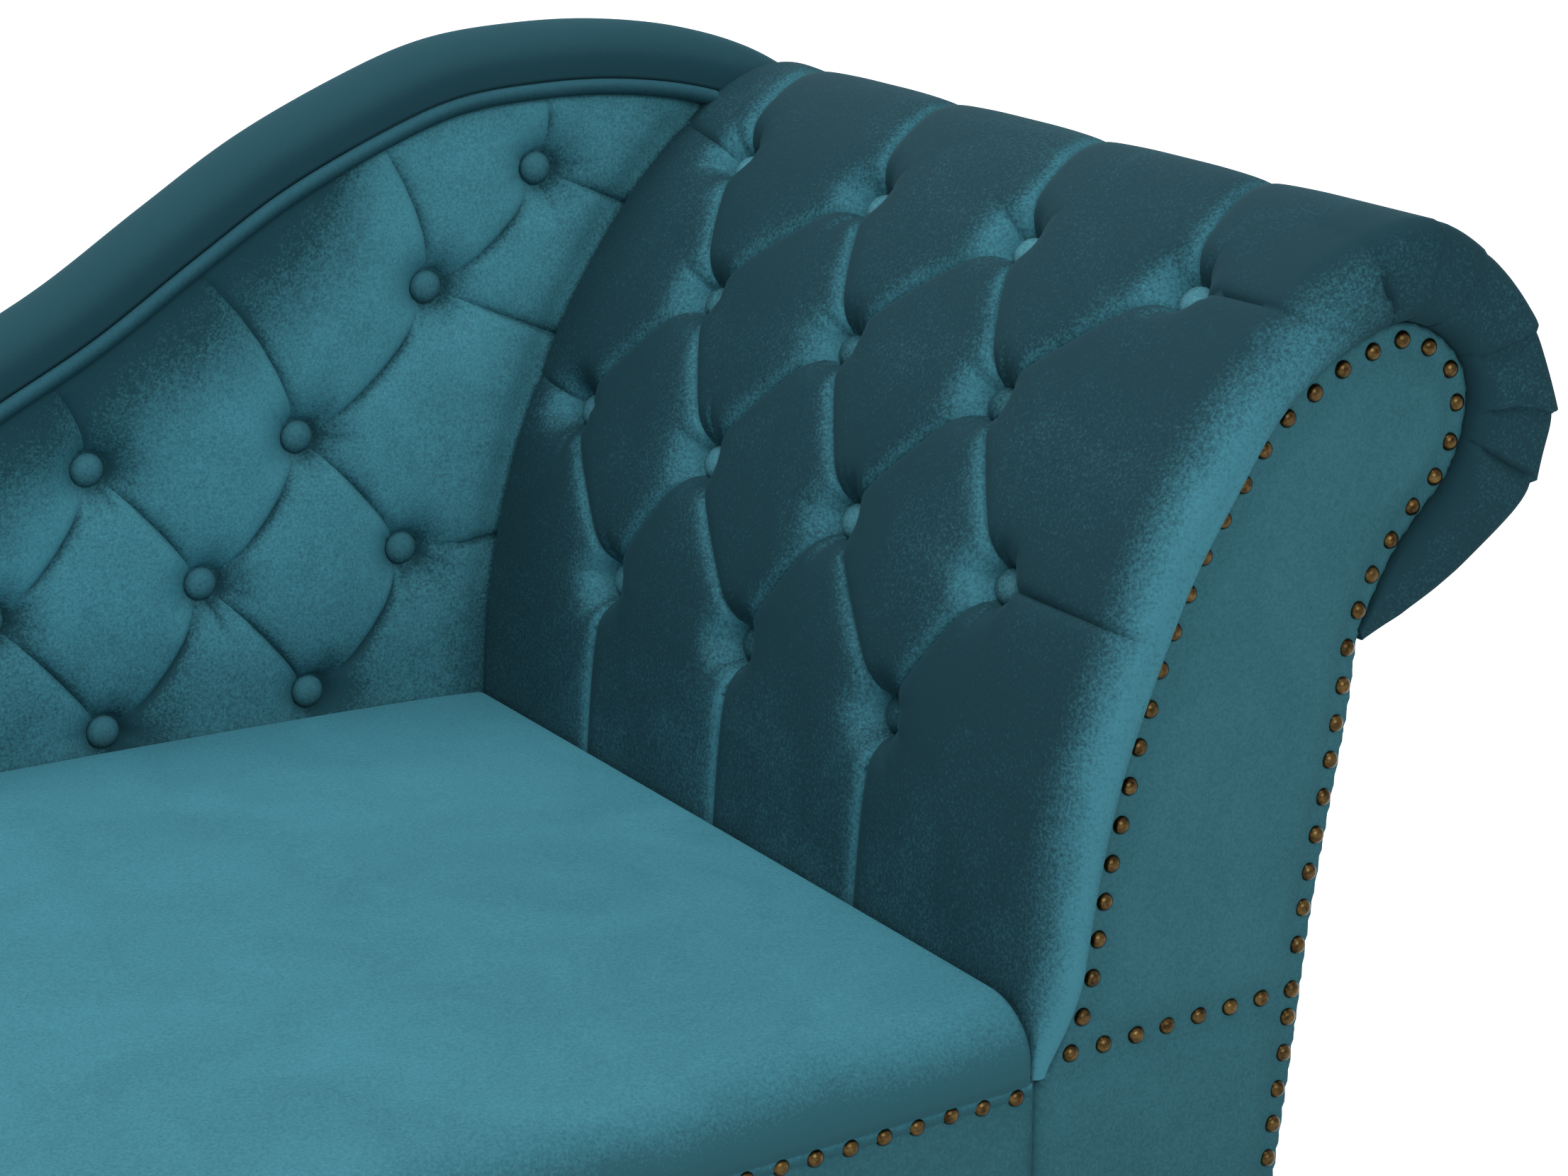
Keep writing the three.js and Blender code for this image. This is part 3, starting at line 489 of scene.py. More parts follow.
def add(tree, kind, inputs=None, **settings):
    """Adds a node to a material's tree, with its settings, values and links."""
    node = tree.nodes.new(kind)
    for name, value in settings.items():
        setattr(node, name, value)
    for name, value in (inputs or {}).items():
        if isinstance(value, bpy.types.NodeSocket):
            tree.links.new(value, node.inputs[name])
        else:
            node.inputs[name].default_value = value
    return node


def new_material(name):
    """An empty material, its node tree and the socket that gives a point's place in metres."""
    material = bpy.data.materials.new(name)
    material.use_nodes = True
    tree = material.node_tree
    tree.nodes.clear()
    return material, tree, add(tree, "ShaderNodeTexCoord").outputs["Object"]


def finished(material, shader):
    add(material.node_tree, "ShaderNodeOutputMaterial", {"Surface": shader.outputs[0]})
    return material


def two_tone(material, share, dark, light, inputs, height=None, strength=0, depth=0):
    """A surface that runs from dark to light with a share, and is dented by a height if given."""
    tree = material.node_tree
    shade = add(tree, "ShaderNodeMix", {0: share, 6: colour(dark), 7: colour(light)},
                data_type="RGBA")
    inputs["Base Color"] = shade.outputs[2]
    if height is not None:
        inputs["Normal"] = add(tree, "ShaderNodeBump", {
            "Height": height, "Strength": strength, "Distance": depth}).outputs["Normal"]
    return finished(material, add(tree, "ShaderNodeBsdfPrincipled", inputs))


def velvet(name, deep, lit, lit_way, low, high, turn="LINEAR"):
    """Cotton velvet, woven with a short cut pile and dyed teal.

    Its light and shade are painted by the way the cloth faces. Cloth turned along the given way
    takes the lit colour and the rest the deep one: a painted light from that side, which also
    stands for the pile lying one way. A painted lightness stored on the points adds to this. The
    change comes between the cosines low and high, and turn says how evenly. The pile also lies in
    strokes, so soft patches differ, and single tufts sparkle where light turns to deep. Edges seen
    at a slant glow faintly. Real tufts are well under a millimetre apart, and are drawn coarser so
    that they show.
    """
    material, tree, where = new_material(name)
    strokes = add(tree, "ShaderNodeTexNoise", {
        "Vector": where, "Scale": 1 / (85 * MM), "Detail": 6, "Roughness": 0.6, "Distortion": 0.7})
    grain = add(tree, "ShaderNodeTexNoise", {
        "Vector": where, "Scale": 1 / (1.8 * MM), "Detail": 2, "Roughness": 0.8})
    facing = add(tree, "ShaderNodeNewGeometry")
    nap = add(tree, "ShaderNodeAttribute", attribute_name="nap")
    # Painted light and shade: how far each face turns the lit way, plus the painted lightness on
    # its points
    turned_to = add(tree, "ShaderNodeVectorMath", {0: facing.outputs["Normal"], 1: lit_way},
                    operation="DOT_PRODUCT")
    pile = add(tree, "ShaderNodeMath", {
        0: turned_to.outputs["Value"], 1: nap.outputs["Fac"]}, operation="ADD").outputs[0]
    for noise, swing in ((strokes, 0.16), (grain, 0.32)):
        uneven = add(tree, "ShaderNodeMapRange", {
            "Value": noise.outputs["Fac"], "From Min": 0.3, "From Max": 0.7, "To Min": -swing,
            "To Max": swing}, clamp=False)
        pile = add(tree, "ShaderNodeMath", {0: pile, 1: uneven.outputs[0]},
                   operation="ADD").outputs[0]
    share = add(tree, "ShaderNodeMapRange", {"Value": pile, "From Min": low, "From Max": high},
                interpolation_type=turn)
    return two_tone(material, share.outputs[0], deep, lit, {
        "Roughness": 0.9, "Specular IOR Level": 0.1, "Sheen Weight": 0.12, "Sheen Roughness": 0.3,
        "Sheen Tint": colour("#5f9fac")}, grain.outputs["Fac"], 0.35, 0.3 * MM)


def antique_brass():
    """Stamped brass, with a dark patina in soft random patches."""
    material, tree, where = new_material("antique_brass")
    patina = add(tree, "ShaderNodeTexNoise", {
        "Vector": where, "Scale": 1 / (4 * MM), "Detail": 4, "Roughness": 0.6})
    worn = add(tree, "ShaderNodeMapRange", {
        "Value": patina.outputs["Fac"], "From Min": 0.35, "From Max": 0.7})
    return two_tone(material, worn.outputs[0], "#2b2114", "#5c4a2b", {
        "Metallic": 1, "Roughness": 0.3})


def wood(name, dark, light, roughness, coat=0):
    """Sawn or turned wood: grain lines run along it and its pores are fine and dark."""
    material, tree, where = new_material(name)
    stretched = add(tree, "ShaderNodeMapping", {"Vector": where, "Scale": (1, 1, 0.12)})
    grain = add(tree, "ShaderNodeTexNoise", {
        "Vector": stretched.outputs[0], "Scale": 1 / (6 * MM), "Detail": 6, "Distortion": 1.2})
    lines = add(tree, "ShaderNodeMapRange", {
        "Value": grain.outputs["Fac"], "From Min": 0.35, "From Max": 0.65})
    return two_tone(material, lines.outputs[0], dark, light, {
        "Roughness": roughness, "Coat Weight": coat, "Coat Roughness": 0.15},
        grain.outputs["Fac"], 0.2, 0.2 * MM)


def drawn_steel():
    """Drawn spring steel wire, oiled, with faint marks along it."""
    material, tree, where = new_material("spring_steel")
    marks = add(tree, "ShaderNodeTexNoise", {
        "Vector": where, "Scale": 1 / (3 * MM), "Detail": 3})
    return two_tone(material, marks.outputs["Fac"], "#6d6f72", "#9a9da0", {
        "Metallic": 1, "Roughness": 0.4})


def bonded_cloth():
    """Black bonded polypropylene cloth: matt, with a faint dimpled print.

    The real dimples are about a millimetre apart, and are drawn coarser so that they show.
    """
    material, tree, where = new_material("black_bonded_cloth")
    dimples = add(tree, "ShaderNodeTexVoronoi", {"Vector": where, "Scale": 1 / (2.5 * MM)})
    return two_tone(material, dimples.outputs["Distance"], "#1b1b1d", "#2c2c2f", {
        "Roughness": 0.95}, dimples.outputs["Distance"], 0.3, 0.2 * MM)


# Painted light: each velvet gives faces turned along its way the lit colour and the rest the deep
# # one, as if lit from the front on the arm, from the right and the front on the back, and from
# # above on the seat. This also stands for the pile, as the arm's, back's and seat's cloths were
# cut
# # and laid each its own way. The velvets are copies of one teal cloth whose tones differ piece by
# # piece, partly as painted light and shade and partly for the pile.
arm_velvet = velvet("arm_velvet", "#193841", "#407d8c", (0, -1, 0), -0.04, 1.3, turn="SMOOTHSTEP")
button_velvet = velvet("button_velvet", "#1e434d", "#4d8795", (-0.6, -0.7, 0.4), -0.1, 1)
back_button_velvet = velvet("back_button_velvet", "#234b55", "#458290", (0, -0.5, 0.87), -0.3, 1)
seat_velvet = velvet("seat_velvet", "#2a5863", "#458696", (0, 0, 1), -0.1, 1.25)
back_velvet = velvet("back_velvet", "#204751", "#4e95a5", (0.7, -0.7, -0.1), -0.2, 1)
panel_velvet = velvet("panel_velvet", "#2a5660", "#396d78", (0, -1, 0), 0.5, 1.5)
cover_velvet = velvet("cover_velvet", "#2a5660", "#396d78", (0, 0, 1), -0.7, 0.7)
band_velvet = velvet("band_velvet", "#1f434d", "#224953", (0, -0.3, 0.95), 0.1, 1.4)
piping_velvet = velvet("piping_velvet", "#1c424c", "#2a5764", (0, -0.5, 0.87), -0.1, 1.2)
brass = antique_brass()
leg_wood = wood("stained_birch", "#1d120c", "#33211a", 0.35, coat=0.5)
beech = wood("sawn_beech", "#b48f60", "#cfae7e", 0.75)
birch_ply = wood("birch_plywood", "#b3905f", "#c9a877", 0.8)
steel = drawn_steel()
black_cloth = bonded_cloth()


# Tufting

# Depth of the buttons' seats under the crown, depth of the pleats, and reach of the buttons' pits
BACK_SINK, ARM_SINK = 20 * MM, 23 * MM
BACK_PLEAT, ARM_PLEAT = 8 * MM, 8.5 * MM
BACK_PIT, ARM_PIT = 42 * MM, 35 * MM
# The share of a pleat's depth that its broad dip takes
BACK_BROAD, ARM_BROAD = 0.38, 0.25
# Reach of a pleat's broad dip, and of the tight crease in it
PLEAT_REACH = 52 * MM
CREASE_REACH = 2.8 * MM
BUTTON_RADIUS = 10.3 * MM
SHANK = 11 * MM
# The cloth is pressed in round a button's rim: how deep, and how far out
RIM_PRESS = 3 * MM
RIM_REACH = 2.5 * MM
# Rings of net points round each button, and lines of them on both sides of each crease, in mm
BUTTON_RINGS = (4, 8, 11, 13, 15, 17.5, 21, 25, 30)
CREASE_SIDES = (-1.5, 1.5, -3.4, 3.4, -6.4, 6.4)
# The small folds round a button: their number, how far from its middle they are deepest, and the
# ranges of their reach and depth in mm and of their width in radians
FOLDS = 9
FOLD_MIDDLE = 13 * MM
FOLD_REACHES, FOLD_DEPTHS, FOLD_WIDTHS = (18, 34), (0.8, 2.2), (0.07, 0.13)


def bowed(start, end, bow):
    """A line between two places that bows to the right by a share of its length."""
    start, end = np.array(start, float), np.array(end, float)
    run = end - start
    side = np.array([run[1], -run[0]]) * (1 if run[1] > 0 else -1)
    t = np.linspace(0, 1, 7)[:, None]
    return start + t * run + 4 * t * (1 - t) * bow * side


def tuft_sink(places, buttons, pleats, deepest, pleat_sink, broad_share, reach):
    """Depth of tufted cloth under its crown, at places on the flat cloth.

    A pleat is (line, strength at its start, strength at its end): a broad shallow dip, which
    takes a share of its depth, with a tight crease in it. Each button sits in a steep pit of a
    given reach.
    """
    free = np.ones(len(places))
    for line, first, last in pleats:
        distance, along = np.full(len(places), np.inf), np.zeros(len(places))
        for k, (a, b) in enumerate(zip(line, line[1:])):
            gap, share = segment_distance(places, a, b)
            along = np.where(gap < distance, (k + share) / (len(line) - 1), along)
            distance = np.minimum(gap, distance)
        strength = first + (last - first) * along
        broad = np.clip(1 - distance / PLEAT_REACH, 0, 1) ** 2
        crease = np.exp(-distance / CREASE_REACH)
        free *= 1 - strength * (broad_share * broad + (1 - broad_share) * crease)
    sink = pleat_sink * (1 - free)
    nearest = np.full(len(places), 1.0)
    for place in buttons:
        nearest = np.minimum(nearest, np.linalg.norm(places - place, axis=1))
    under = 0.85 * BUTTON_RADIUS
    pit = (1 - np.clip((nearest - under) / (reach - under), 0, 1)) ** 3
    rim = np.exp(-((nearest - BUTTON_RADIUS) / RIM_REACH) ** 2)
    return sink * (1 - pit) + deepest * pit + RIM_PRESS * rim


def gathers(places, buttons, seed):
    """Depth of the small folds that run out from each button, where the cloth is drawn in."""
    chance = np.random.default_rng(seed)
    depth = np.zeros(len(places))
    for place in buttons:
        away = places - place
        distance = np.linalg.norm(away, axis=1)
        angle = np.arctan2(away[:, 1], away[:, 0])
        for turn in chance.uniform(-math.pi, math.pi, FOLDS):
            reach = chance.uniform(*FOLD_REACHES) * MM
            width = chance.uniform(*FOLD_WIDTHS)
            off = np.abs((angle - turn + math.pi) % (2 * math.pi) - math.pi)
            fade = np.exp(-((distance - FOLD_MIDDLE) / reach) ** 2 * 3)
            ridge = np.exp(-((off / width) ** 2)) * fade
            depth += chance.uniform(*FOLD_DEPTHS) * MM * ridge
    return depth


def tuft_dots(buttons, creases):
    """Places where a tufted cloth needs a finer net: round its buttons and beside its creases."""
    dots = []
    for place in buttons:
        for radius in np.array(BUTTON_RINGS) * MM:
            dots.append(place + radius * circle(max(8, int(radius / (0.34 * MM)))))
    for line in creases:
        line = spaced(line, 2.8 * MM)
        dots += [offset(line, side * MM) for side in CREASE_SIDES]
    return np.vstack(dots)


# A covered button: a domed mould under cloth that is drawn in round its rim, on a shank that
# reaches down to the seat of its node
BUTTON = turned(np.vstack([spline([
    (0, 7), (3.7, 6.6), (7, 5.4), (9.3, 3.5), (10.3, 1.4), (9.9, -0.6), (8.2, -2.2),
], 4) * MM, [(2.5 * MM, -3 * MM), (2.5 * MM, -SHANK)]]), 40)


def add_button(node, place, outward, material, light=0):
    """A covered button in its pit, standing the way that the cloth faces.

    light is how much lighter or darker it is painted, from -1, deep, to 1.
    """
    points, faces = BUTTON
    piece = add_piece(node + "_cover", seated(points, outward, place), faces, material,
                      [node])
    add_painted_shading(piece, np.full(len(points), light))


# Arm

# Pitch of the buttons from front to rear, and of their rows up the skin, from the first row on
ARM_COLUMN = 144 * MM
ARM_ROW = 93 * MM
ARM_FIRST_ROW = 147 * MM
ARM_FRONT, ARM_REAR = ARM_LOW.y, ARM_HIGH.y

# The arm's buttons: places are (depth, distance along the skin)
ARM_NODES = [numbered(f"arm_button_{row + 1}_") for row in range(4)]
ARM_ROWS = [[(middle(node).y, ARM_FIRST_ROW + row * ARM_ROW) for node in nodes]
            for row, nodes in enumerate(ARM_NODES)]
ARM_BUTTONS = [place for row in ARM_ROWS for place in row]
# How much lighter or darker each of them is drawn, from the front
ARM_BUTTON_TONES = [(-0.7, -0.7, -0.1), (-0.3, 0, 0, -0.1), (-0.7, -0.7, -0.4), (0, 0, 0, 0)]
# A channel over the scroll leans to the rear: how far back, and how far along from its button
CHANNEL = np.array([(0, 0), (16, 50), (36, 100), (48, 150), (50, 220)]) * MM
CHANNEL_STOP = 45 * MM

# The front lip. Its round begins so far behind the front edge, and its cloth runs on past that
# edge. Most of that cloth shows, and the rest is tucked behind the facing panel.
LIP_REACH = 30 * MM
LIP_SPAN = 40 * MM
LIP_SHOWN = 0.84
# Where the lip's round is full, on the seat side, and where it is tight, under the scroll's nose
FULL_LIP, TIGHT_LIP = 400 * MM, 540 * MM
# The radius of the full round in mm, and how much less the tight one's is. No round takes more
# than a share of the depth that the facing's edge lies at.
LIP_RADIUS, LIP_TIGHTER = 30, 20
LIP_ROUND = 0.62
# How much shorter the tight round's reach is
SHORTER_REACH = 0.64
# Beside the seat the lip leans over to the panel's edge: where along the skin, over what reach,
# and how much deeper it lies there
LEAN_MIDDLE, LEAN_REACH, LEAN_DEPTH = 290 * MM, 105 * MM, 2.2 * MM
# The share of the lip's way over which it stands straight, where it is tight and where it leans
TIGHT_STRAIGHT, LEAN_STRAIGHT = 0.55, 0.6
# How far from the skin's first and last ends the lip is flattened, and by what share
FIRST_END, LAST_END = 60 * MM, 70 * MM
END_FLAT = 0.85
# How far from those ends the tufting is shallower, and the share of it that is left there
FIRST_SHALLOW, LAST_SHALLOW = 30 * MM, 40 * MM
SHALLOW = 0.35
# How far behind the front the cloth is still drawn flat between the lip's folds
FLAT_REACH = 70 * MM
# Folds that gather the lip round the scroll: place on the panel's border, place on the rim, and
# depth, in mm
LIP_PLEATS = [(486, 480, 8), (530, 532, 2), (565, 570, 3), (612, 630, 6), (650, 685, 6),
              (738, 727, 6)]
# Stretches of the rim that the cloth is drawn flat over: start, end and depth, in mm
LIP_FACETS = [(540, 630, 1.6), (630, 685, 4.4), (685, 727, 4.7), (727, 835, 3)]
# How far over the rim a fold runs, and how soon it drops on its far side
FOLD_RUN = 62 * MM
FOLD_DROP = 7 * MM
# The least depth of the facing's edge under the skin, and how much deeper the padding's hidden
# face lies
LEAST_DEPTH = 1 * MM
CORE_DEPTH = 11 * MM


def arm_pleats():
    """Diamonds between the rows, channels over the scroll, and short pleats to the edges."""
    pleats = []
    for lower, upper in zip(ARM_ROWS, ARM_ROWS[1:]):
        for low in lower:
            pleats += [((low, high), 1, 1) for high in upper
                       if abs(high[0] - low[0]) < 0.75 * ARM_COLUMN]
    pleats += [(((y, s), (y, 20 * MM)), 1, 0.35) for y, s in ARM_ROWS[0]]
    for button in ARM_ROWS[-1]:
        line = button + CHANNEL
        pleats.append((np.vstack([line, (line[-1, 0], SKIN_LENGTH - CHANNEL_STOP)]), 1, 0.9))
    for row in (ARM_ROWS[1], ARM_ROWS[3]):
        pleats.append(((row[0], (ARM_FRONT - LIP_SPAN, row[0][1])), 1, 0.12))
        pleats.append(((row[-1], (ARM_REAR, row[-1][1] + 8 * MM)), 1, 0.35))
    return pleats


def facing_depth():
    """How deep the facing's edge lies under the skin, at each point of the skin, evened out."""
    depth = []
    starts, runs = FACING[:-1], np.diff(FACING, axis=0)
    for place, outward in zip(SKIN, SKIN_OUT):
        ray = -outward
        gap = starts - place
        turn = ray[0] * runs[:, 1] - ray[1] * runs[:, 0]
        reach = (gap[:, 0] * runs[:, 1] - gap[:, 1] * runs[:, 0]) / turn
        share = (gap[:, 0] * ray[1] - gap[:, 1] * ray[0]) / turn
        hits = reach[(reach > 0) & (share >= 0) & (share <= 1)]
        depth.append(hits.min() if len(hits) else LEAST_DEPTH)
    kernel = np.ones(15) / 15
    return np.maximum(np.convolve(np.pad(depth, 7, mode="edge"), kernel, "valid"), LEAST_DEPTH)


FACING_DEPTH = facing_depth()


def lip_facets(along):
    """How far the cloth is drawn flat between the lip's pleats."""
    flat = np.zeros(len(along))
    for a, b, depth in LIP_FACETS:
        t = np.clip((along / MM - a) / (b - a), 0, 1)
        flat += 4 * t * (1 - t) * depth * MM
    return flat


def lip_folds(places):
    """Folds of the gathered lip: places are (depth from the front, along the skin).

    Each fold stands up on its near side and drops at once on its far side. It fades towards the
    rim and ends a little way over it.
    """
    sink = np.zeros(len(places))
    for border, rim, depth in LIP_PLEATS:
        start = (ARM_FRONT - LIP_SPAN, border * MM)
        for a, b, first, last in (
            (start, (ARM_FRONT, rim * MM), 1, 0.7),
            ((ARM_FRONT, rim * MM), (ARM_FRONT + FOLD_RUN, rim * MM), 0.7, 0),
        ):
            distance, share = segment_distance(places, a, b)
            way = np.clip((places[:, 0] - a[0]) / (b[0] - a[0]), 0, 1)
            below = places[:, 1] > a[1] + way * (b[1] - a[1]) + 0.1 * MM
            drop = np.exp(-distance / FOLD_DROP) * below
            sink = np.maximum(sink, (first + (last - first) * share) * depth * MM * drop)
    return sink


def skin_at(along):
    """Places on the skin's outline, and the way that it faces there."""
    return tuple(np.stack([np.interp(along, SKIN_RUN, column) for column in line.T], axis=-1)
                 for line in (SKIN, SKIN_OUT))


def under_skin(along, depth, y):
    """The points in space that lie under the skin by a depth, and none of them below the deck."""
    base, out = skin_at(along)
    flat = base - out * depth[:, None]
    return upright(np.column_stack([flat[:, 0], np.maximum(flat[:, 1], DECK)]), y)


def lip_shape(y, along):
    """How the lip carries the cloth round the front edge and in behind the facing panel.

    Returns the depth under the skin, the place from front to rear, how far the round has turned,
    and the shares of the cloth's way over the front and of its tuck.
    """
    border = np.interp(along, SKIN_RUN, FACING_DEPTH)
    tight = smooth((along - FULL_LIP) / (TIGHT_LIP - FULL_LIP))
    radius = np.minimum(LIP_ROUND * border, (LIP_RADIUS - LIP_TIGHTER * tight) * MM)
    reach = LIP_REACH * (1 - SHORTER_REACH * tight)
    # The round takes its share of the cloth's way from the last full place to the front
    arc = math.pi / 4 * (radius + reach)
    way = np.clip((ARM_FRONT + LIP_REACH - y) / LIP_REACH, 0, 1) * (LIP_REACH - reach + arc)
    turn = np.clip((way - LIP_REACH + reach) / arc, 0, 1) * math.pi / 2
    depth = radius * (1 - np.cos(turn))
    place_y = ARM_FRONT + reach * (1 - np.sin(turn)) + np.maximum(LIP_REACH - reach - way, 0)
    place_y = np.where(y > ARM_FRONT + LIP_REACH, y, place_y)
    over = np.clip((ARM_FRONT - y) / LIP_SPAN, 0, 1)
    shown = np.clip(over / LIP_SHOWN, 0, 1)
    depth = np.where(y < ARM_FRONT, radius + shown * (border - FIT - radius), depth)
    # Past its foremost line the lip rounds in again to the panel's face, then tucks behind it
    seam = PANEL_LOW.y + MM
    lean = np.exp(-((along - LEAN_MIDDLE) / LEAN_REACH) ** 4)
    start = TIGHT_STRAIGHT * tight + LEAN_STRAIGHT * lean
    fall = 1 - np.sqrt(1 - np.clip((shown - start) / (1 - start), 0, 1) ** 2)
    place_y = place_y + (seam - ARM_FRONT) * fall
    depth = depth + LEAN_DEPTH * lean * np.sin(math.pi * np.clip(2 * shown - 1, 0, 1))
    # At the skin's two ends the lip hardly stands out from the panel
    ends = 1 - smooth(along / FIRST_END) + 1 - smooth((SKIN_LENGTH - along) / LAST_END)
    place_y = np.where(place_y < seam, seam - (seam - place_y) * (1 - END_FLAT * ends), place_y)
    tuck = np.clip((over - LIP_SHOWN) / (1 - LIP_SHOWN), 0, 1)
    return depth, place_y + (PANEL_HIGH.y + FIT - seam) * tuck, turn, shown, tuck


def arm_surface(places):
    """The arm's tufted skin, its rounded lip and the tuck behind the facing panel.

    A place is (y, s): y is the depth on the skin, and it runs on past the front edge over the
    lip. s is the distance along the skin's outline.
    """
    y, along = places[:, 0], places[:, 1]
    depth, place_y, turn, shown, tuck = lip_shape(y, along)
    sink = tuft_sink(places, ARM_BUTTONS, arm_pleats(), ARM_SINK, ARM_PLEAT, ARM_BROAD, ARM_PIT)
    sink += gathers(places, ARM_BUTTONS, 11)
    # The tufting runs out over the lip, and is shallow at the skin's two ends
    sink *= smooth((y - ARM_FRONT + LIP_SPAN / 2) / (LIP_REACH + LIP_SPAN / 2))
    full = np.clip(along / FIRST_SHALLOW, 0, 1)
    full *= np.clip((SKIN_LENGTH - along) / LAST_SHALLOW, 0, 1)
    sink *= SHALLOW + (1 - SHALLOW) * full
    near_front = np.clip(1 - (y - ARM_FRONT - LIP_REACH) / FLAT_REACH, 0, 1)
    sink += lip_facets(along) * near_front * (1 - smooth(2 * shown - 1))
    folds = lip_folds(places) * (1 - tuck)
    place_y = place_y + folds * np.sin(turn) * (1 - smooth(3 * shown - 2))
    return under_skin(along, depth + sink + folds * np.cos(turn), place_y)


def arm_painted_shading(places):
    """Painted shade on the front over the scroll, and painted light low beside the seat."""
    y, along = places[:, 0], places[:, 1]
    front = 1 - smooth((y - ARM_FRONT) / (60 * MM))
    nose = smooth((along - 330 * MM) / (230 * MM))
    foot = 1 - smooth(along / (170 * MM))
    return front * (0.06 - nose) + 0.26 * foot


def arm_core(places):
    """The hidden inner face of the arm's padding, against the boards and the former."""
    along = places[:, 1]
    depth = np.interp(along, SKIN_RUN, FACING_DEPTH) + CORE_DEPTH
    return under_skin(along, depth, np.maximum(places[:, 0], PANEL_HIGH.y + FIT))


def build_arm():
    """The arm's padding, with a finer net over its lip, and the buttons in it."""
    spacing, crease_spacing = 4.5 * MM, 4 * MM
    low, high = ARM_FRONT - LIP_SPAN, ARM_REAR
    corners = rectangle((low, 0), (high, SKIN_LENGTH))
    outline = np.vstack([spaced(np.array(side), spacing)[:-1]
                         for side in zip(corners, np.roll(corners, -1, axis=0))])
    creases = [spaced(np.array(line), crease_spacing) for line, *_ in arm_pleats()]
    beside = tuft_dots(ARM_BUTTONS, creases)
    for border, rim, _ in LIP_PLEATS:
        turn = [(low + 0.16 * LIP_SPAN, border * MM), (ARM_FRONT, rim * MM),
                (ARM_FRONT + 50 * MM, rim * MM)]
        creases.append(spaced(np.array(turn), crease_spacing))
    across_lip = np.concatenate([np.linspace(low + 0.5 * MM, low + 14 * MM, 9),
                                 np.linspace(low + 16 * MM, ARM_FRONT + LIP_REACH, 24)])
    along_lip = np.arange(2 * MM, SKIN_LENGTH - MM, 4 * MM)
    lip = np.stack(np.meshgrid(across_lip, along_lip), axis=-1).reshape(-1, 2)
    add_padding("arm_padding", outline, spacing, arm_surface, arm_core, arm_velvet, ["arm_pad"],
                creases, np.vstack([beside, lip]), arm_painted_shading)
    for nodes, row, lights in zip(ARM_NODES, ARM_ROWS, ARM_BUTTON_TONES):
        for node, (y, along) in zip(nodes, row):
            place, outward = skin_at(along)
            seat = place - outward * ARM_SINK
            light = lights[sum(other < y for other, _ in row)]
            add_button(node, (seat[0], y, seat[1]), (outward[0], 0, outward[1]), button_velvet,
                       light)


# Flat padded covers

EDGE_RADIUS = 4 * MM
# How far in from its edge a cover has swelled fully, and how far nails hold it down
SWELL_REACH = 16 * MM
NAIL_HOLD = 11 * MM
NAIL_PITCH = 20.6 * MM
NAIL_RADIUS = 5 * MM
NAIL = turned(spline([
    (0, 0.6), (2.1, 0.3), (3.8, -0.8), (4.8, -2.4), (5, -3.5), (4.6, -4.6),
], 4) * MM, 20)
# The cloth folded over the base's rear corner: where it begins, how far past the back's foot it
# runs, and its height over the deck
CORNER_FRONT, CORNER_REACH, CORNER_RISE = 285 * MM, 40 * MM, 3 * MM
# The outside arm panel: its thickness and its swell. At the rear it runs on up, behind the roll,
# to hide the board there: how far, and over which stretch.
SIDE_THICKNESS, SIDE_SWELL = 11.7 * MM, 1.6 * MM
REAR_RISE, REAR_STRETCH = 9 * MM, 16 * MM


def to_front(places, face, out):
    return upright(places, face - out)


def to_rear(places, face, out):
    return upright(places, face + out)


def to_left(places, face, out):
    return np.stack([face - out, places[:, 0], places[:, 1]], axis=1)


def flat_cover(node, outline, face, to_space, thickness, material, swell=1.2 * MM, held=None,
               spacing=6 * MM):
    """A board's padded cover with rounded edges, over an outline in its own plane.

    to_space gives the points in space of places in the plane that stand out by a distance from
    the face. held gives how far nails hold the cover down, from 0 to 1.
    """
    edge = spaced(closed(outline), 1.5 * MM)

    def outer(places):
        gap = line_distance(places, edge)
        out = swell * smooth(gap / SWELL_REACH) - rounded(gap, EDGE_RADIUS)
        if held is not None:
            out -= swell * held(places) * smooth(gap / SWELL_REACH)
        return to_space(places, face, out)

    def inner(places):
        return to_space(places, face, np.full(len(places), -thickness))

    return add_padding(node + "_cloth", spaced(closed(outline), spacing)[:-1], spacing, outer,
                       inner, material, [node])


def nail_tips(node, axis):
    """The tips of a row's nail heads: where its solid stands out farthest down an axis."""
    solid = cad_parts[node]
    places = np.array([solid.matrix_world @ v.co for v in solid.data.vertices])
    tips = []
    for place in places[places[:, axis] < places[:, axis].min() + 0.1 * MM]:
        if all(np.linalg.norm(place - tip) > NAIL_RADIUS for tip in tips):
            tips.append(place)
    return np.array(tips)


def add_nails(node, rows):
    """Domed brass nails, each driven in a little askew; rows are (tips, outward way)."""
    chance = np.random.default_rng(5)
    points, faces = [], []
    for tips, outward in rows:
        for tip in tips:
            lean = np.array(outward) + chance.normal(0, 0.05, 3)
            faces += [tuple(k + len(NAIL[0]) * len(points) for k in face) for face in NAIL[1]]
            points.append(seated(NAIL[0], lean, tip + chance.normal(0, 0.25 * MM, 3)))
    add_piece(node + "_domes", np.vstack(points), faces, brass, [node])


def outer_side(margin, rise=0):
    """The arm's outer side below the scroll, drawn in by a margin, from the scroll down."""
    line = above(offset(FACING, -margin), PANEL_LOW.z)
    low = arm_point(SKIN_SHARES[-1])[1] - FIT + rise
    half = len(line) // 2
    return line[half:][line[half:, 1] < low]


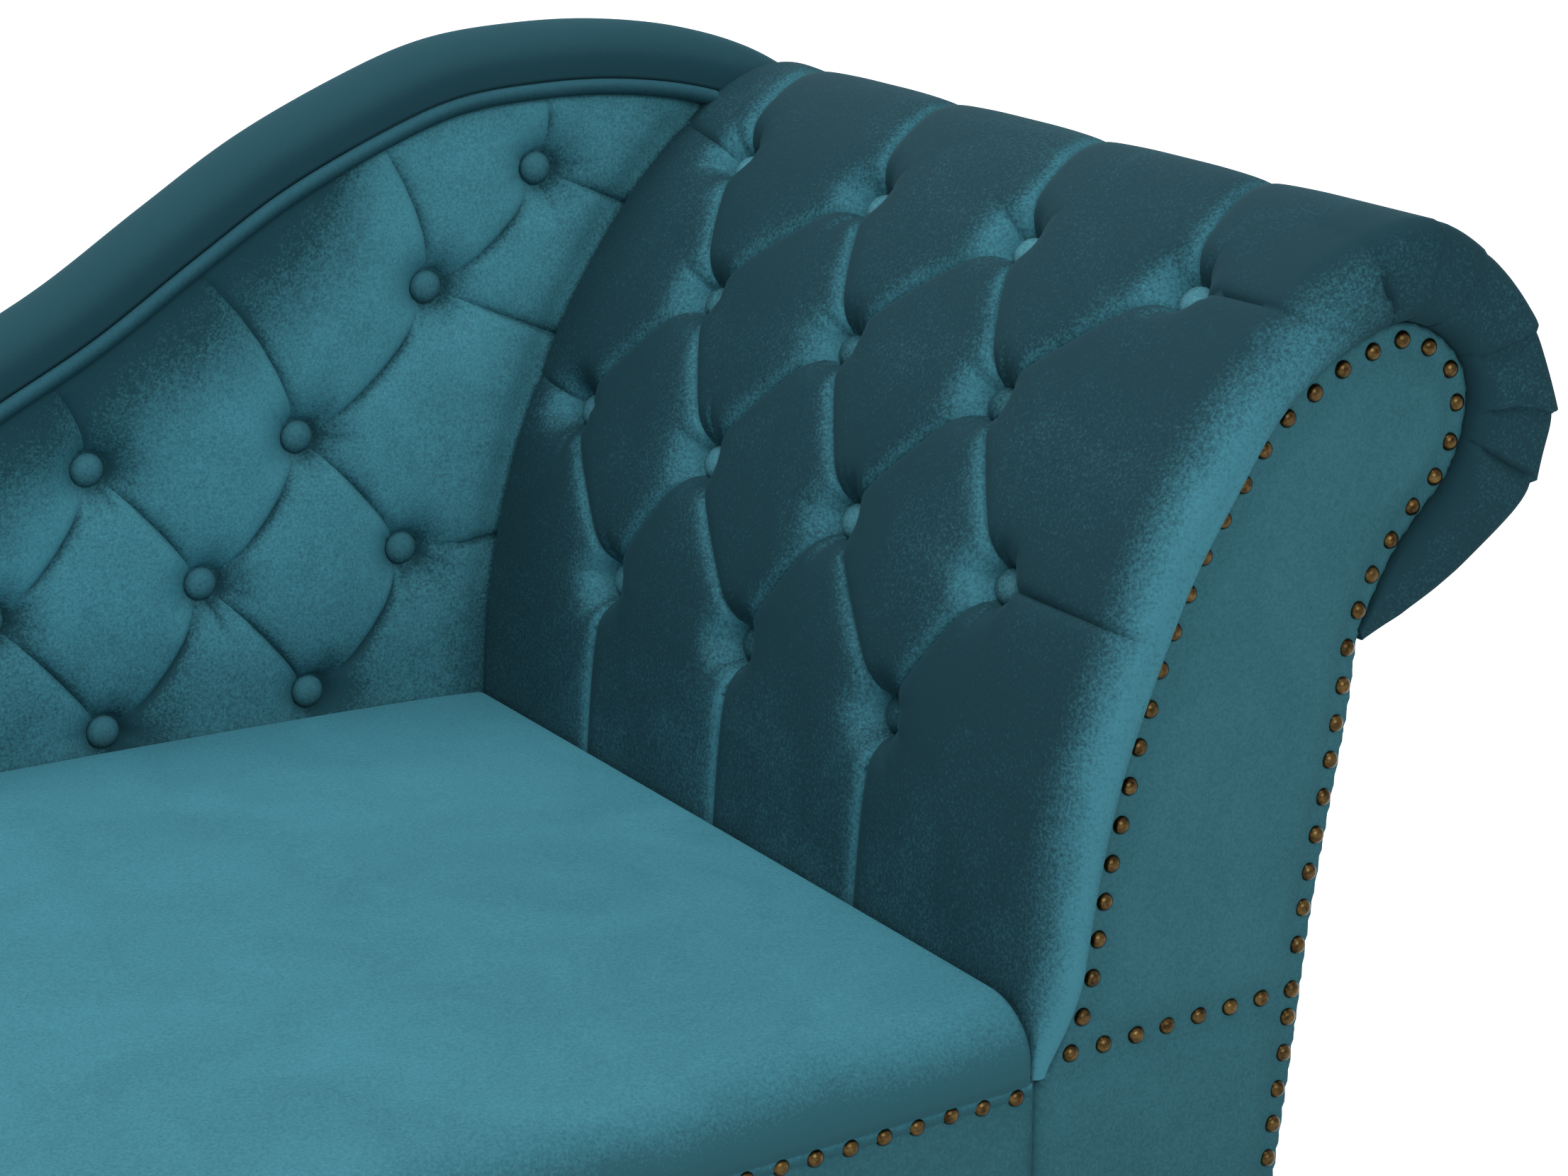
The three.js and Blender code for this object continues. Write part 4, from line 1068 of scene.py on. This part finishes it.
def build_facing():
    """The panel on the arm's front, held down by its rows of nails."""
    tips = nail_tips("arm_nail_row", 1)
    nails = tips[:, [0, 2]]
    near = [(a, b) for a in nails for b in nails if 0 < np.linalg.norm(a - b) < 1.4 * NAIL_PITCH]
    rows = np.vstack([np.linspace(a, b, 20) for a, b in near])

    def held(places):
        return np.exp(-(line_distance(places, rows) / NAIL_HOLD) ** 2)

    panel = flat_cover("arm_facing_panel", above(FACING, PANEL_LOW.z), PANEL_LOW.y, to_front,
                       PANEL_HIGH.y - PANEL_LOW.y, panel_velvet, swell=4.6 * MM, held=held,
                       spacing=4 * MM)
    # Painted shade, deeper towards the panel's foot
    levels = np.array([v.co.z for v in panel.data.vertices])
    add_painted_shading(panel, -0.4 * smooth((DECK + 60 * MM - levels) / (200 * MM)))
    add_nails("arm_nail_row", [(tips, (0, -1, 0))])


def build_rail_covers():
    low, high = RAIL_LOW, RAIL_HIGH
    rail = flat_cover("front_rail_cover", rectangle((low.x, low.z), (high.x, high.z)), low.y,
                      to_front, high.y - low.y, panel_velvet, swell=0.8 * MM)
    # Painted shade under the seat's front roll: the rail cover is drawn darker throughout
    add_painted_shading(rail, np.full(len(rail.data.vertices), -0.3))
    low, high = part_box("end_rail_cover")
    flat_cover("end_rail_cover", rectangle((low.y, low.z), (high.y, high.z)), low.x, to_left,
               high.x - low.x, cover_velvet)


def build_outside_back():
    foot = [(COVER_LOW.x, COVER_LOW.z), (COVER_LOW.x, DECK), (BACK_LEFT + BAND_DROP, DECK)]
    edge = above(offset(BACK_EDGE, -BAND_DROP), DECK)
    flat_cover("outside_back_panel", np.vstack([foot, edge, outer_side(0)]), COVER_HIGH.y,
               to_rear, COVER_HIGH.y - COVER_LOW.y, cover_velvet, spacing=8 * MM)


def build_foot_corner():
    """The cloth folded over the base's rear corner, beside the foot of the back."""
    corner = rectangle((COVER_LOW.x, CORNER_FRONT), (BACK_LEFT + CORNER_REACH, COVER_HIGH.y))
    outline = spaced(closed(corner), 3 * MM)[:-1]

    def folded(places):
        gap = line_distance(places, spaced(closed(outline), 1.5 * MM))
        return np.column_stack([places, DECK + CORNER_RISE - rounded(gap, CORNER_RISE)])

    def under(places):
        return np.column_stack([places, np.full(len(places), DECK - MM)])

    add_padding("foot_corner_cloth", outline, 3 * MM, folded, under, cover_velvet, [])


def build_outside_arm():
    """The cover on the arm's outer side, below the scroll."""
    low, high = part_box("outside_arm_panel")
    share = np.linspace(0, 1, 50)
    bulge = SIDE_SWELL * np.sin(math.pi * share)
    rings = []
    for y in spaced(np.array([(low.y, 0), (high.y, 0)]), 8 * MM)[:, 0]:
        rise = REAR_RISE if y > high.y - REAR_STRETCH else 0
        outside, within = (at(line, share * lengths(line)[-1])
                           for line in (outer_side(0, rise), outer_side(SIDE_THICKNESS, rise)))
        gap = min(y - low.y, high.y - y)
        out = bulge * smooth(gap / (40 * MM)) - rounded(gap, 3 * MM)
        rings.append(upright(np.vstack([offset(outside, out[:, None]), within[::-1]]), y))
    add_loft("outside_arm_panel_cloth", rings, cover_velvet, "outside_arm_panel")


# Back

# Pitch of the buttons along the back and between its rows
BACK_COLUMN = 136 * MM
BACK_ROW = 82 * MM
PIPING_RADIUS = 4.9 * MM
# How far behind the crest the piping lies, and how far under the seat's crown it begins
PIPING_SEAT = 4 * MM
PIPING_START = 8 * MM
# How far in from the back's edge the tufting is shallower, and the share of it that is left there
EDGE_REACH, EDGE_TUFTING = 26 * MM, 0.25
# How deep and how far the cloth is drawn in beside the piping, and beside the arm
PIPING_PULL, PIPING_REACH = PIPING_SEAT + 3 * MM, 18 * MM
ARM_PULL, ARM_PULL_REACH = 5 * MM, 20 * MM
# The last rings of the rolled band at the scroll's tip: how far on in mm, and their scale
BAND_END = [(6, 1), (14, 1), (20, 0.95)]
BACK_NODES = numbered("back_button_")
BACK_BUTTONS = np.array([(middle(node).x, middle(node).z) for node in BACK_NODES])


def back_pleats():
    """Diamonds between the buttons, and pleats on to the piping, the arm and the seat."""
    side = math.hypot(BACK_COLUMN / 2, BACK_ROW)
    pleats = []
    for place in BACK_BUTTONS:
        gaps = np.linalg.norm(BACK_BUTTONS - place, axis=1)
        over = BACK_BUTTONS[(BACK_BUTTONS[:, 1] > place[1] + 11 * MM) & (gaps < 1.2 * side)]
        pleats += [(bowed(place, other, 0.075 if other[0] > place[0] else 0.03), 1, 1)
                   for other in over]
        to_edge = np.linalg.norm(BACK_EDGE - place, axis=1)
        if len(over) < 2 and to_edge.min() < 1.6 * side:
            pleats.append((bowed(place, BACK_EDGE[to_edge.argmin()], 0.075), 1, 0.5))
        if place[0] > INNER_FACE - 0.6 * BACK_COLUMN:
            fall = 0 if place[1] < DECK + 200 * MM else 62 * MM
            pleats.append(((place, place + (BACK_COLUMN, -fall)), 1, 0.8))
        if place[1] < DECK + 68 * MM:
            pleats.append(((place, (place[0], DECK)), 1, 0.8))
    return pleats


def back_surface(places):
    """The tufted inside back: its cloth is drawn in along the piping and along the arm."""
    to_edge, to_arm = (line_distance(places, line) for line in (BACK_EDGE, spaced(SKIN, 3 * MM)))
    sink = tuft_sink(places, BACK_BUTTONS, back_pleats(), BACK_SINK, BACK_PLEAT, BACK_BROAD,
                     BACK_PIT)
    sink += gathers(places, BACK_BUTTONS, 23)
    sink *= smooth(to_edge / EDGE_REACH) * (1 - EDGE_TUFTING) + EDGE_TUFTING
    sink += PIPING_PULL * (1 - smooth(to_edge / PIPING_REACH))
    sink += ARM_PULL * (1 - smooth(to_arm / ARM_PULL_REACH))
    return to_front(places, CREST, -sink)


def back_painted_shade(places):
    """Painted shade under the band, beside the arm and low down at the seat."""
    to_edge, to_arm = (line_distance(places, line) for line in (BACK_EDGE, spaced(SKIN, 3 * MM)))
    shade = 1 - smooth((to_edge - 15 * MM) / (85 * MM))
    shade *= smooth((INNER_FACE - 45 * MM - places[:, 0]) / (60 * MM))
    low = 1 - smooth((places[:, 1] - DECK - 60 * MM) / (110 * MM))
    return -shade - 0.4 * (1 - smooth(to_arm / (45 * MM))) - 0.42 * low


def back_core(places):
    return upright(places, BACK_HIGH.y)


def build_back():
    """The inside back's padding, which runs on behind the arm, and the buttons in it."""
    spacing = 5 * MM
    stop = np.argmax(BACK_EDGE[:, 0] > BACK_HIGH.x)
    rest = [(BACK_HIGH.x, BACK_EDGE[stop, 1]), (BACK_HIGH.x, DECK + 200 * MM),
            (BACK_HIGH.x - 35 * MM, DECK + FIT), (BACK_LEFT, DECK + FIT)]
    outline = spaced(np.vstack([BACK_EDGE[:stop], rest]), spacing)[:-1]
    creases = [spaced(np.array(line), 4 * MM) for line, *_ in back_pleats()]
    add_padding("back_padding", outline, spacing, back_surface, back_core, back_velvet,
                ["back_pad"], creases, tuft_dots(BACK_BUTTONS, creases), back_painted_shade)
    for node, (x, z) in zip(BACK_NODES, BACK_BUTTONS):
        add_button(node, (x, CREST + BACK_SINK, z), (0, -1, 0), back_button_velvet)


def build_band():
    """The plain rolled band over the back's edge, from its foot to the scroll's tip."""
    depth, ledge = ROLL_REAR - CREST, BACK_HIGH.y + FIT - CREST
    over = [(FIT + rise * BAND_RISE, share * depth) for rise, share in BAND_SHARES]
    over = spline([*over, (FIT - BAND_DROP, depth)], 6)
    section = np.vstack([over, [(FIT - BAND_DROP, ledge), (FIT, ledge)]])
    rings = [upright(place + section[:, :1] * way, CREST + section[:, 1])
             for place, way in zip(BACK_EDGE, across(BACK_EDGE))]
    heading = BACK_EDGE[-1] - BACK_EDGE[-2]
    heading = heading / np.linalg.norm(heading)
    centre = rings[-1].mean(axis=0)
    last = rings[-1] - centre
    for step, scale in BAND_END:
        shift = np.array([heading[0], 0, heading[1]]) * step * MM
        rings.append(centre + shift + last * scale)
    add_loft("back_rolled_edge", rings, band_velvet, "back_edge_roll")


def build_piping():
    """The cord between the inside back and the band, from the seat to where the arm hides it."""
    cord = above(offset(BACK_EDGE, -PIPING_RADIUS), SEAT_HIGH.z - PIPING_START)
    free = ~inside(np.vstack([offset(SKIN, -4 * MM), [(INNER_FACE, DECK)]]), cord)
    cord = spaced(cord[:np.argmin(free) if not free.all() else len(cord)], 4 * MM)
    section = circle(16)
    out = PIPING_RADIUS * section[:, :1]
    y = CREST + PIPING_SEAT - PIPING_RADIUS + PIPING_RADIUS * section[:, 1]
    rings = [upright(place + out * way, y) for place, way in zip(cord, across(cord))]
    add_loft("back_piping_cord", rings, piping_velvet, "back_piping")


# Seat

# Height of the seat's edge, and how far its crown stands over that
SEAT_EDGE = 42 * MM
SEAT_CROWN = 17 * MM
# The seat's roll at the front, its depth and its height, and the roll at the foot end
FRONT_ROLL, FRONT_DROP, FOOT_ROLL = 34 * MM, 30 * MM, 26 * MM
# How far it rounds in where it is tucked in at the rear and beside the arm
REAR_TUCK, ARM_TUCK = 9 * MM, 7 * MM
# The folded hem under the seat: how far its section stands out and how far it lies under the deck,
# in mm. Its corners near the seat wave one way and the lower ones another.
HEM_OUT = np.array([0.2, 1.1, 1.1, 0.2, -1, -1])
HEM_DROP = np.array([0.6, 1.6, 6, 7, 7, 0.6])
HEM_WAVE = 1.1 * MM
# Steps of the seat's net over its flat part, from front to rear and from the foot to the arm
DEEP_STEPS, LONG_STEPS = 76, 170


def build_seat():
    """A tight seat: crowned, rolled over at the front and the foot, tucked in elsewhere."""
    front, rear = SEAT_LOW.y, SEAT_HIGH.y
    left, right, base = SEAT_LOW.x, SEAT_HIGH.x, SEAT_LOW.z
    bend = np.linspace(0, math.pi / 2, 14)
    depths = np.concatenate([FRONT_ROLL * (1 - np.cos(bend)),
                             np.linspace(FRONT_ROLL, rear - front - REAR_TUCK, DEEP_STEPS)[1:-1],
                             rear - front - REAR_TUCK * (1 - np.sin(bend))])
    heights = np.concatenate([SEAT_EDGE - FRONT_DROP * (1 - np.sin(bend)),
                              np.full(DEEP_STEPS - 2, SEAT_EDGE),
                              SEAT_EDGE - REAR_TUCK * (1 - np.cos(bend))])
    share = depths / (rear - front)
    swell = np.where(share < 0.5, np.sin(math.pi * share), 1 - 0.1 * smooth(2 * share - 1))
    ends = np.concatenate([FOOT_ROLL * (1 - np.cos(bend)),
                           np.linspace(FOOT_ROLL, right - left - ARM_TUCK, LONG_STEPS)[1:-1],
                           right - left - ARM_TUCK * (1 - np.cos(bend))[::-1]])
    rings = []
    for x in ends:
        inset = rounded(x, FOOT_ROLL) + rounded(right - left - x, ARM_TUCK)
        crown = SEAT_CROWN * math.sin(math.pi * x / (right - left)) ** 0.6
        top = heights + crown * swell ** 0.8 - inset * heights / SEAT_EDGE
        deep = depths + inset * (1 - smooth(share * 4))
        ys = np.concatenate([[front + inset], front + deep, [rear]])
        zs = np.concatenate([[base], base + top, [base]])
        rings.append(np.stack([np.full(len(ys), left + x), ys, zs], axis=1))
    points, faces, _ = loft(rings)
    piece = add_piece("seat_cushion", points, faces, seat_velvet, ["seat_pad"])
    # Drawn darker towards the front
    add_painted_shading(piece, -0.34 * (1 - (points[:, 1] - front) / (rear - front)))


def build_hem():
    """The seat cloth's folded hem along the front and the foot end, and the nails in it."""
    face, side = RAIL_LOW.y - FIT, RAIL_LOW.x - FIT
    turn = 4 * MM
    path = spaced(np.array([(SEAT_HIGH.x, face), (side + turn, face), (side, face + turn),
                            (side, SEAT_HIGH.y)]), 5 * MM)
    draws = np.random.default_rng(9).normal(0, HEM_WAVE, (3, len(path) + 8))
    wave, _, dip = (np.convolve(row, np.ones(9) / 9, "valid") for row in draws)
    rings = []
    for place, way, up, down in zip(path, -across(path), wave, dip):
        z = DECK - HEM_DROP * MM + (up, up, down, down, down, up)
        rings.append(np.column_stack([place + (HEM_OUT * MM)[:, None] * way, z]))
    add_loft("seat_hem", rings, seat_velvet, "rail_nail_row")
    add_nails("rail_nail_row", [(nail_tips("rail_nail_row", 1), (0, -1, 0)),
                                (nail_tips("rail_nail_row", 0), (-1, 0, 0))])


# Base

# A leg's turned outline from its top down: shares of its widest radius and of its height
LEG_SHARES = [
    (0, 1), (0.97, 1), (1, 0.985), (1, 0.905), (0.97, 0.89), (0.72, 0.85), (0.62, 0.79),
    (0.78, 0.75), (0.86, 0.7), (0.78, 0.655), (0.57, 0.62), (0.72, 0.555), (0.82, 0.46),
    (0.78, 0.34), (0.66, 0.2), (0.53, 0.1), (0.5, 0.04), (0.42, 0),
]
LEGS = [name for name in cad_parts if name.startswith(("leg_front", "leg_rear"))]
# The dust cloth's net, its place under the rails, and how far it sags
DUST_SPACING = 20 * MM
DUST_GAP, DUST_SAG = 0.2 * MM, 2.5 * MM


def build_legs():
    lathe = np.vstack([LEG_SHARES[:1], spline(LEG_SHARES[1:], 6)])
    for node in LEGS:
        low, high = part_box(node)
        points, faces = turned(lathe * ((high.x - low.x) / 2, high.z - low.z), 48)
        place = ((low.x + high.x) / 2, (low.y + high.y) / 2, low.z)
        add_piece(node + "_turning", points + place, faces, leg_wood, [node])


def build_dust_cover():
    """The cloth stretched under the base, with a hole round each leg and a slight sag."""
    low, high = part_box("dust_cover")
    size = (high.x - low.x, high.y - low.y)
    holes = []
    for node in LEGS:
        leg_low, leg_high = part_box(node)
        place = np.array(((leg_low.x + leg_high.x) / 2, (leg_low.y + leg_high.y) / 2))
        holes.append((place, (leg_high.x - leg_low.x) / 2 + 2 * FIT))
    outline = spaced(closed(rectangle(low.xy, high.xy)), DUST_SPACING)[:-1]
    turn = np.linspace(0, 2 * math.pi, 33)
    circle = np.stack([np.cos(turn), np.sin(turn)], axis=1)
    rims = [place + circle * radius for place, radius in holes]
    places, faces = net(outline, rims, DUST_SPACING)
    middles = places[faces].mean(axis=1)
    keep = np.ones(len(faces), bool)
    for place, radius in holes:
        keep &= np.linalg.norm(middles - place, axis=1) > radius
    faces = turned_right(places, faces[keep])[:, ::-1]
    used, faces = np.unique(faces, return_inverse=True)
    faces = faces.reshape(-1, 3)
    places = places[used]
    share = (places - (low.x, low.y)) / size
    sag = np.prod(np.sin(math.pi * np.clip(share, 0, 1)), axis=1)
    points = np.column_stack([places, high.z - DUST_GAP - DUST_SAG * sag])
    cloth = add_piece("dust_cover_cloth", points, faces, black_cloth,
                      ["dust_cover"])


build_arm()
build_facing()
build_rail_covers()
build_outside_back()
build_foot_corner()
build_outside_arm()
build_back()
build_band()
build_piping()
build_seat()
build_hem()
build_legs()
build_dust_cover()


# Stage

# Half the floor's length, and the distances over which its glow rises to white, in metres
FLOOR_HALF = 12
GLOW_START, GLOW_END = 0.9, 2.2
# Strength of the light that comes from all round
FILL = 0.42
# The softboxes: place, the place that each points at, size in metres and power in watts
SOFTBOXES = {
    "front_softbox": ((-0.5, -3.3, 2.3), (0.1, 0, 0.5), (2.2, 1.8), 60),
    "rear_softbox": ((0.2, 3.4, 2.1), (0, 0.3, 0.4), (2.2, 1.8), 30),
    "side_softbox": ((-3.2, -1.2, 1.1), (0.5, 0, 0.5), (1.8, 1.5), 9),
    "top_softbox": ((-0.2, 0.2, 3.2), (0, 0.1, 0.4), (2.4, 1.8), 58),
}
# The camera that fits the photograph: its place, sensor and lens in mm, and its turn to the right
# and down in degrees
CAMERA_PLACE = (-0.5224, -1.6485, 1.1368)
SENSOR, LENS = 36, 81.62
YAW, PITCH = 33.2, 17.7


def seen(tree):
    """1 on rays from the camera, off gloss or through glass, so that metal mirrors the white."""
    path = add(tree, "ShaderNodeLightPath")
    value = path.outputs["Is Camera Ray"]
    for ray in ("Is Glossy Ray", "Is Transmission Ray"):
        value = add(tree, "ShaderNodeMath", {0: value, 1: path.outputs[ray]},
                    operation="MAXIMUM").outputs[0]
    return value


def pale_floor():
    """Matt white paper that glows more and more away from the chaise, and so runs out to white."""
    material, tree, where = new_material("pale_floor")
    matt = add(tree, "ShaderNodeBsdfPrincipled", {
        "Base Color": colour("#e8e8e8"), "Roughness": 0.9, "Specular IOR Level": 0.1})
    spot = add(tree, "ShaderNodeVectorMath", {0: where}, operation="LENGTH")
    far = add(tree, "ShaderNodeMapRange", {
        "Value": spot.outputs["Value"], "From Min": GLOW_START, "From Max": GLOW_END,
        "To Min": 0.5, "To Max": 1})
    glow = add(tree, "ShaderNodeEmission", {"Color": (1, 1, 1, 1), "Strength": far.outputs[0]})
    both = add(tree, "ShaderNodeAddShader", {0: matt.outputs[0], 1: glow.outputs[0]})
    return finished(material, add(tree, "ShaderNodeMixShader", {
        0: seen(tree), 1: matt.outputs[0], 2: both.outputs[0]}))


def add_to_scene(name, data):
    thing = bpy.data.objects.new(name, data)
    bpy.context.scene.collection.objects.link(thing)
    return thing


def aimed(heading):
    """The turn of a light or a camera that looks along a heading."""
    return heading.to_track_quat("-Z", "Y").to_euler()


def build_floor():
    mesh = bpy.data.meshes.new("floor")
    corners = rectangle((-FLOOR_HALF, -FLOOR_HALF), (FLOOR_HALF, FLOOR_HALF))
    mesh.from_pydata([(x, y, 0) for x, y in corners], [], [(0, 1, 2, 3)])
    mesh.materials.append(pale_floor())
    add_to_scene("floor", mesh)


def build_lights():
    """The softboxes, and a white all round that lights the chaise only weakly."""
    for name, (place, target, size, power) in SOFTBOXES.items():
        data = bpy.data.lights.new(name, "AREA")
        data.shape = "RECTANGLE"
        data.size, data.size_y = size
        data.energy = power
        light = add_to_scene(name, data)
        light.location = place
        light.rotation_euler = aimed(Vector(target) - Vector(place))
    world = bpy.data.worlds.new("white_studio")
    bpy.context.scene.world = world
    world.use_nodes = True
    tree = world.node_tree
    tree.nodes.clear()
    fill, white = (add(tree, "ShaderNodeBackground", {"Color": (1, 1, 1, 1), "Strength": strength})
                   for strength in (FILL, 1))
    pick = add(tree, "ShaderNodeMixShader", {
        0: seen(tree), 1: fill.outputs[0], 2: white.outputs[0]})
    add(tree, "ShaderNodeOutputWorld", {"Surface": pick.outputs[0]})


def build_camera():
    """The photograph's own view, from the front left and a little above."""
    data = bpy.data.cameras.new("camera")
    data.sensor_width = SENSOR
    data.lens = LENS
    camera = add_to_scene("camera", data)
    camera.location = CAMERA_PLACE
    yaw, pitch = math.radians(YAW), math.radians(PITCH)
    camera.rotation_euler = aimed(Vector((
        math.sin(yaw) * math.cos(pitch), math.cos(yaw) * math.cos(pitch), -math.sin(pitch))))
    bpy.context.scene.camera = camera


def dress_frame():
    """Gives the frame's own solids, such as its rails and springs, the materials made here."""
    for name, material in {
        "velvet": panel_velvet, "brass": brass, "dark_wood": leg_wood, "beech": beech,
        "plywood": birch_ply, "steel": steel, "black_cloth": black_cloth,
    }.items():
        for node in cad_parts.values():
            for slot in node.material_slots:
                if slot.material and slot.material.name.startswith(name):
                    slot.material = material


bpy.context.scene.view_settings.view_transform = "Standard"
build_floor()
build_lights()
build_camera()
dress_frame()
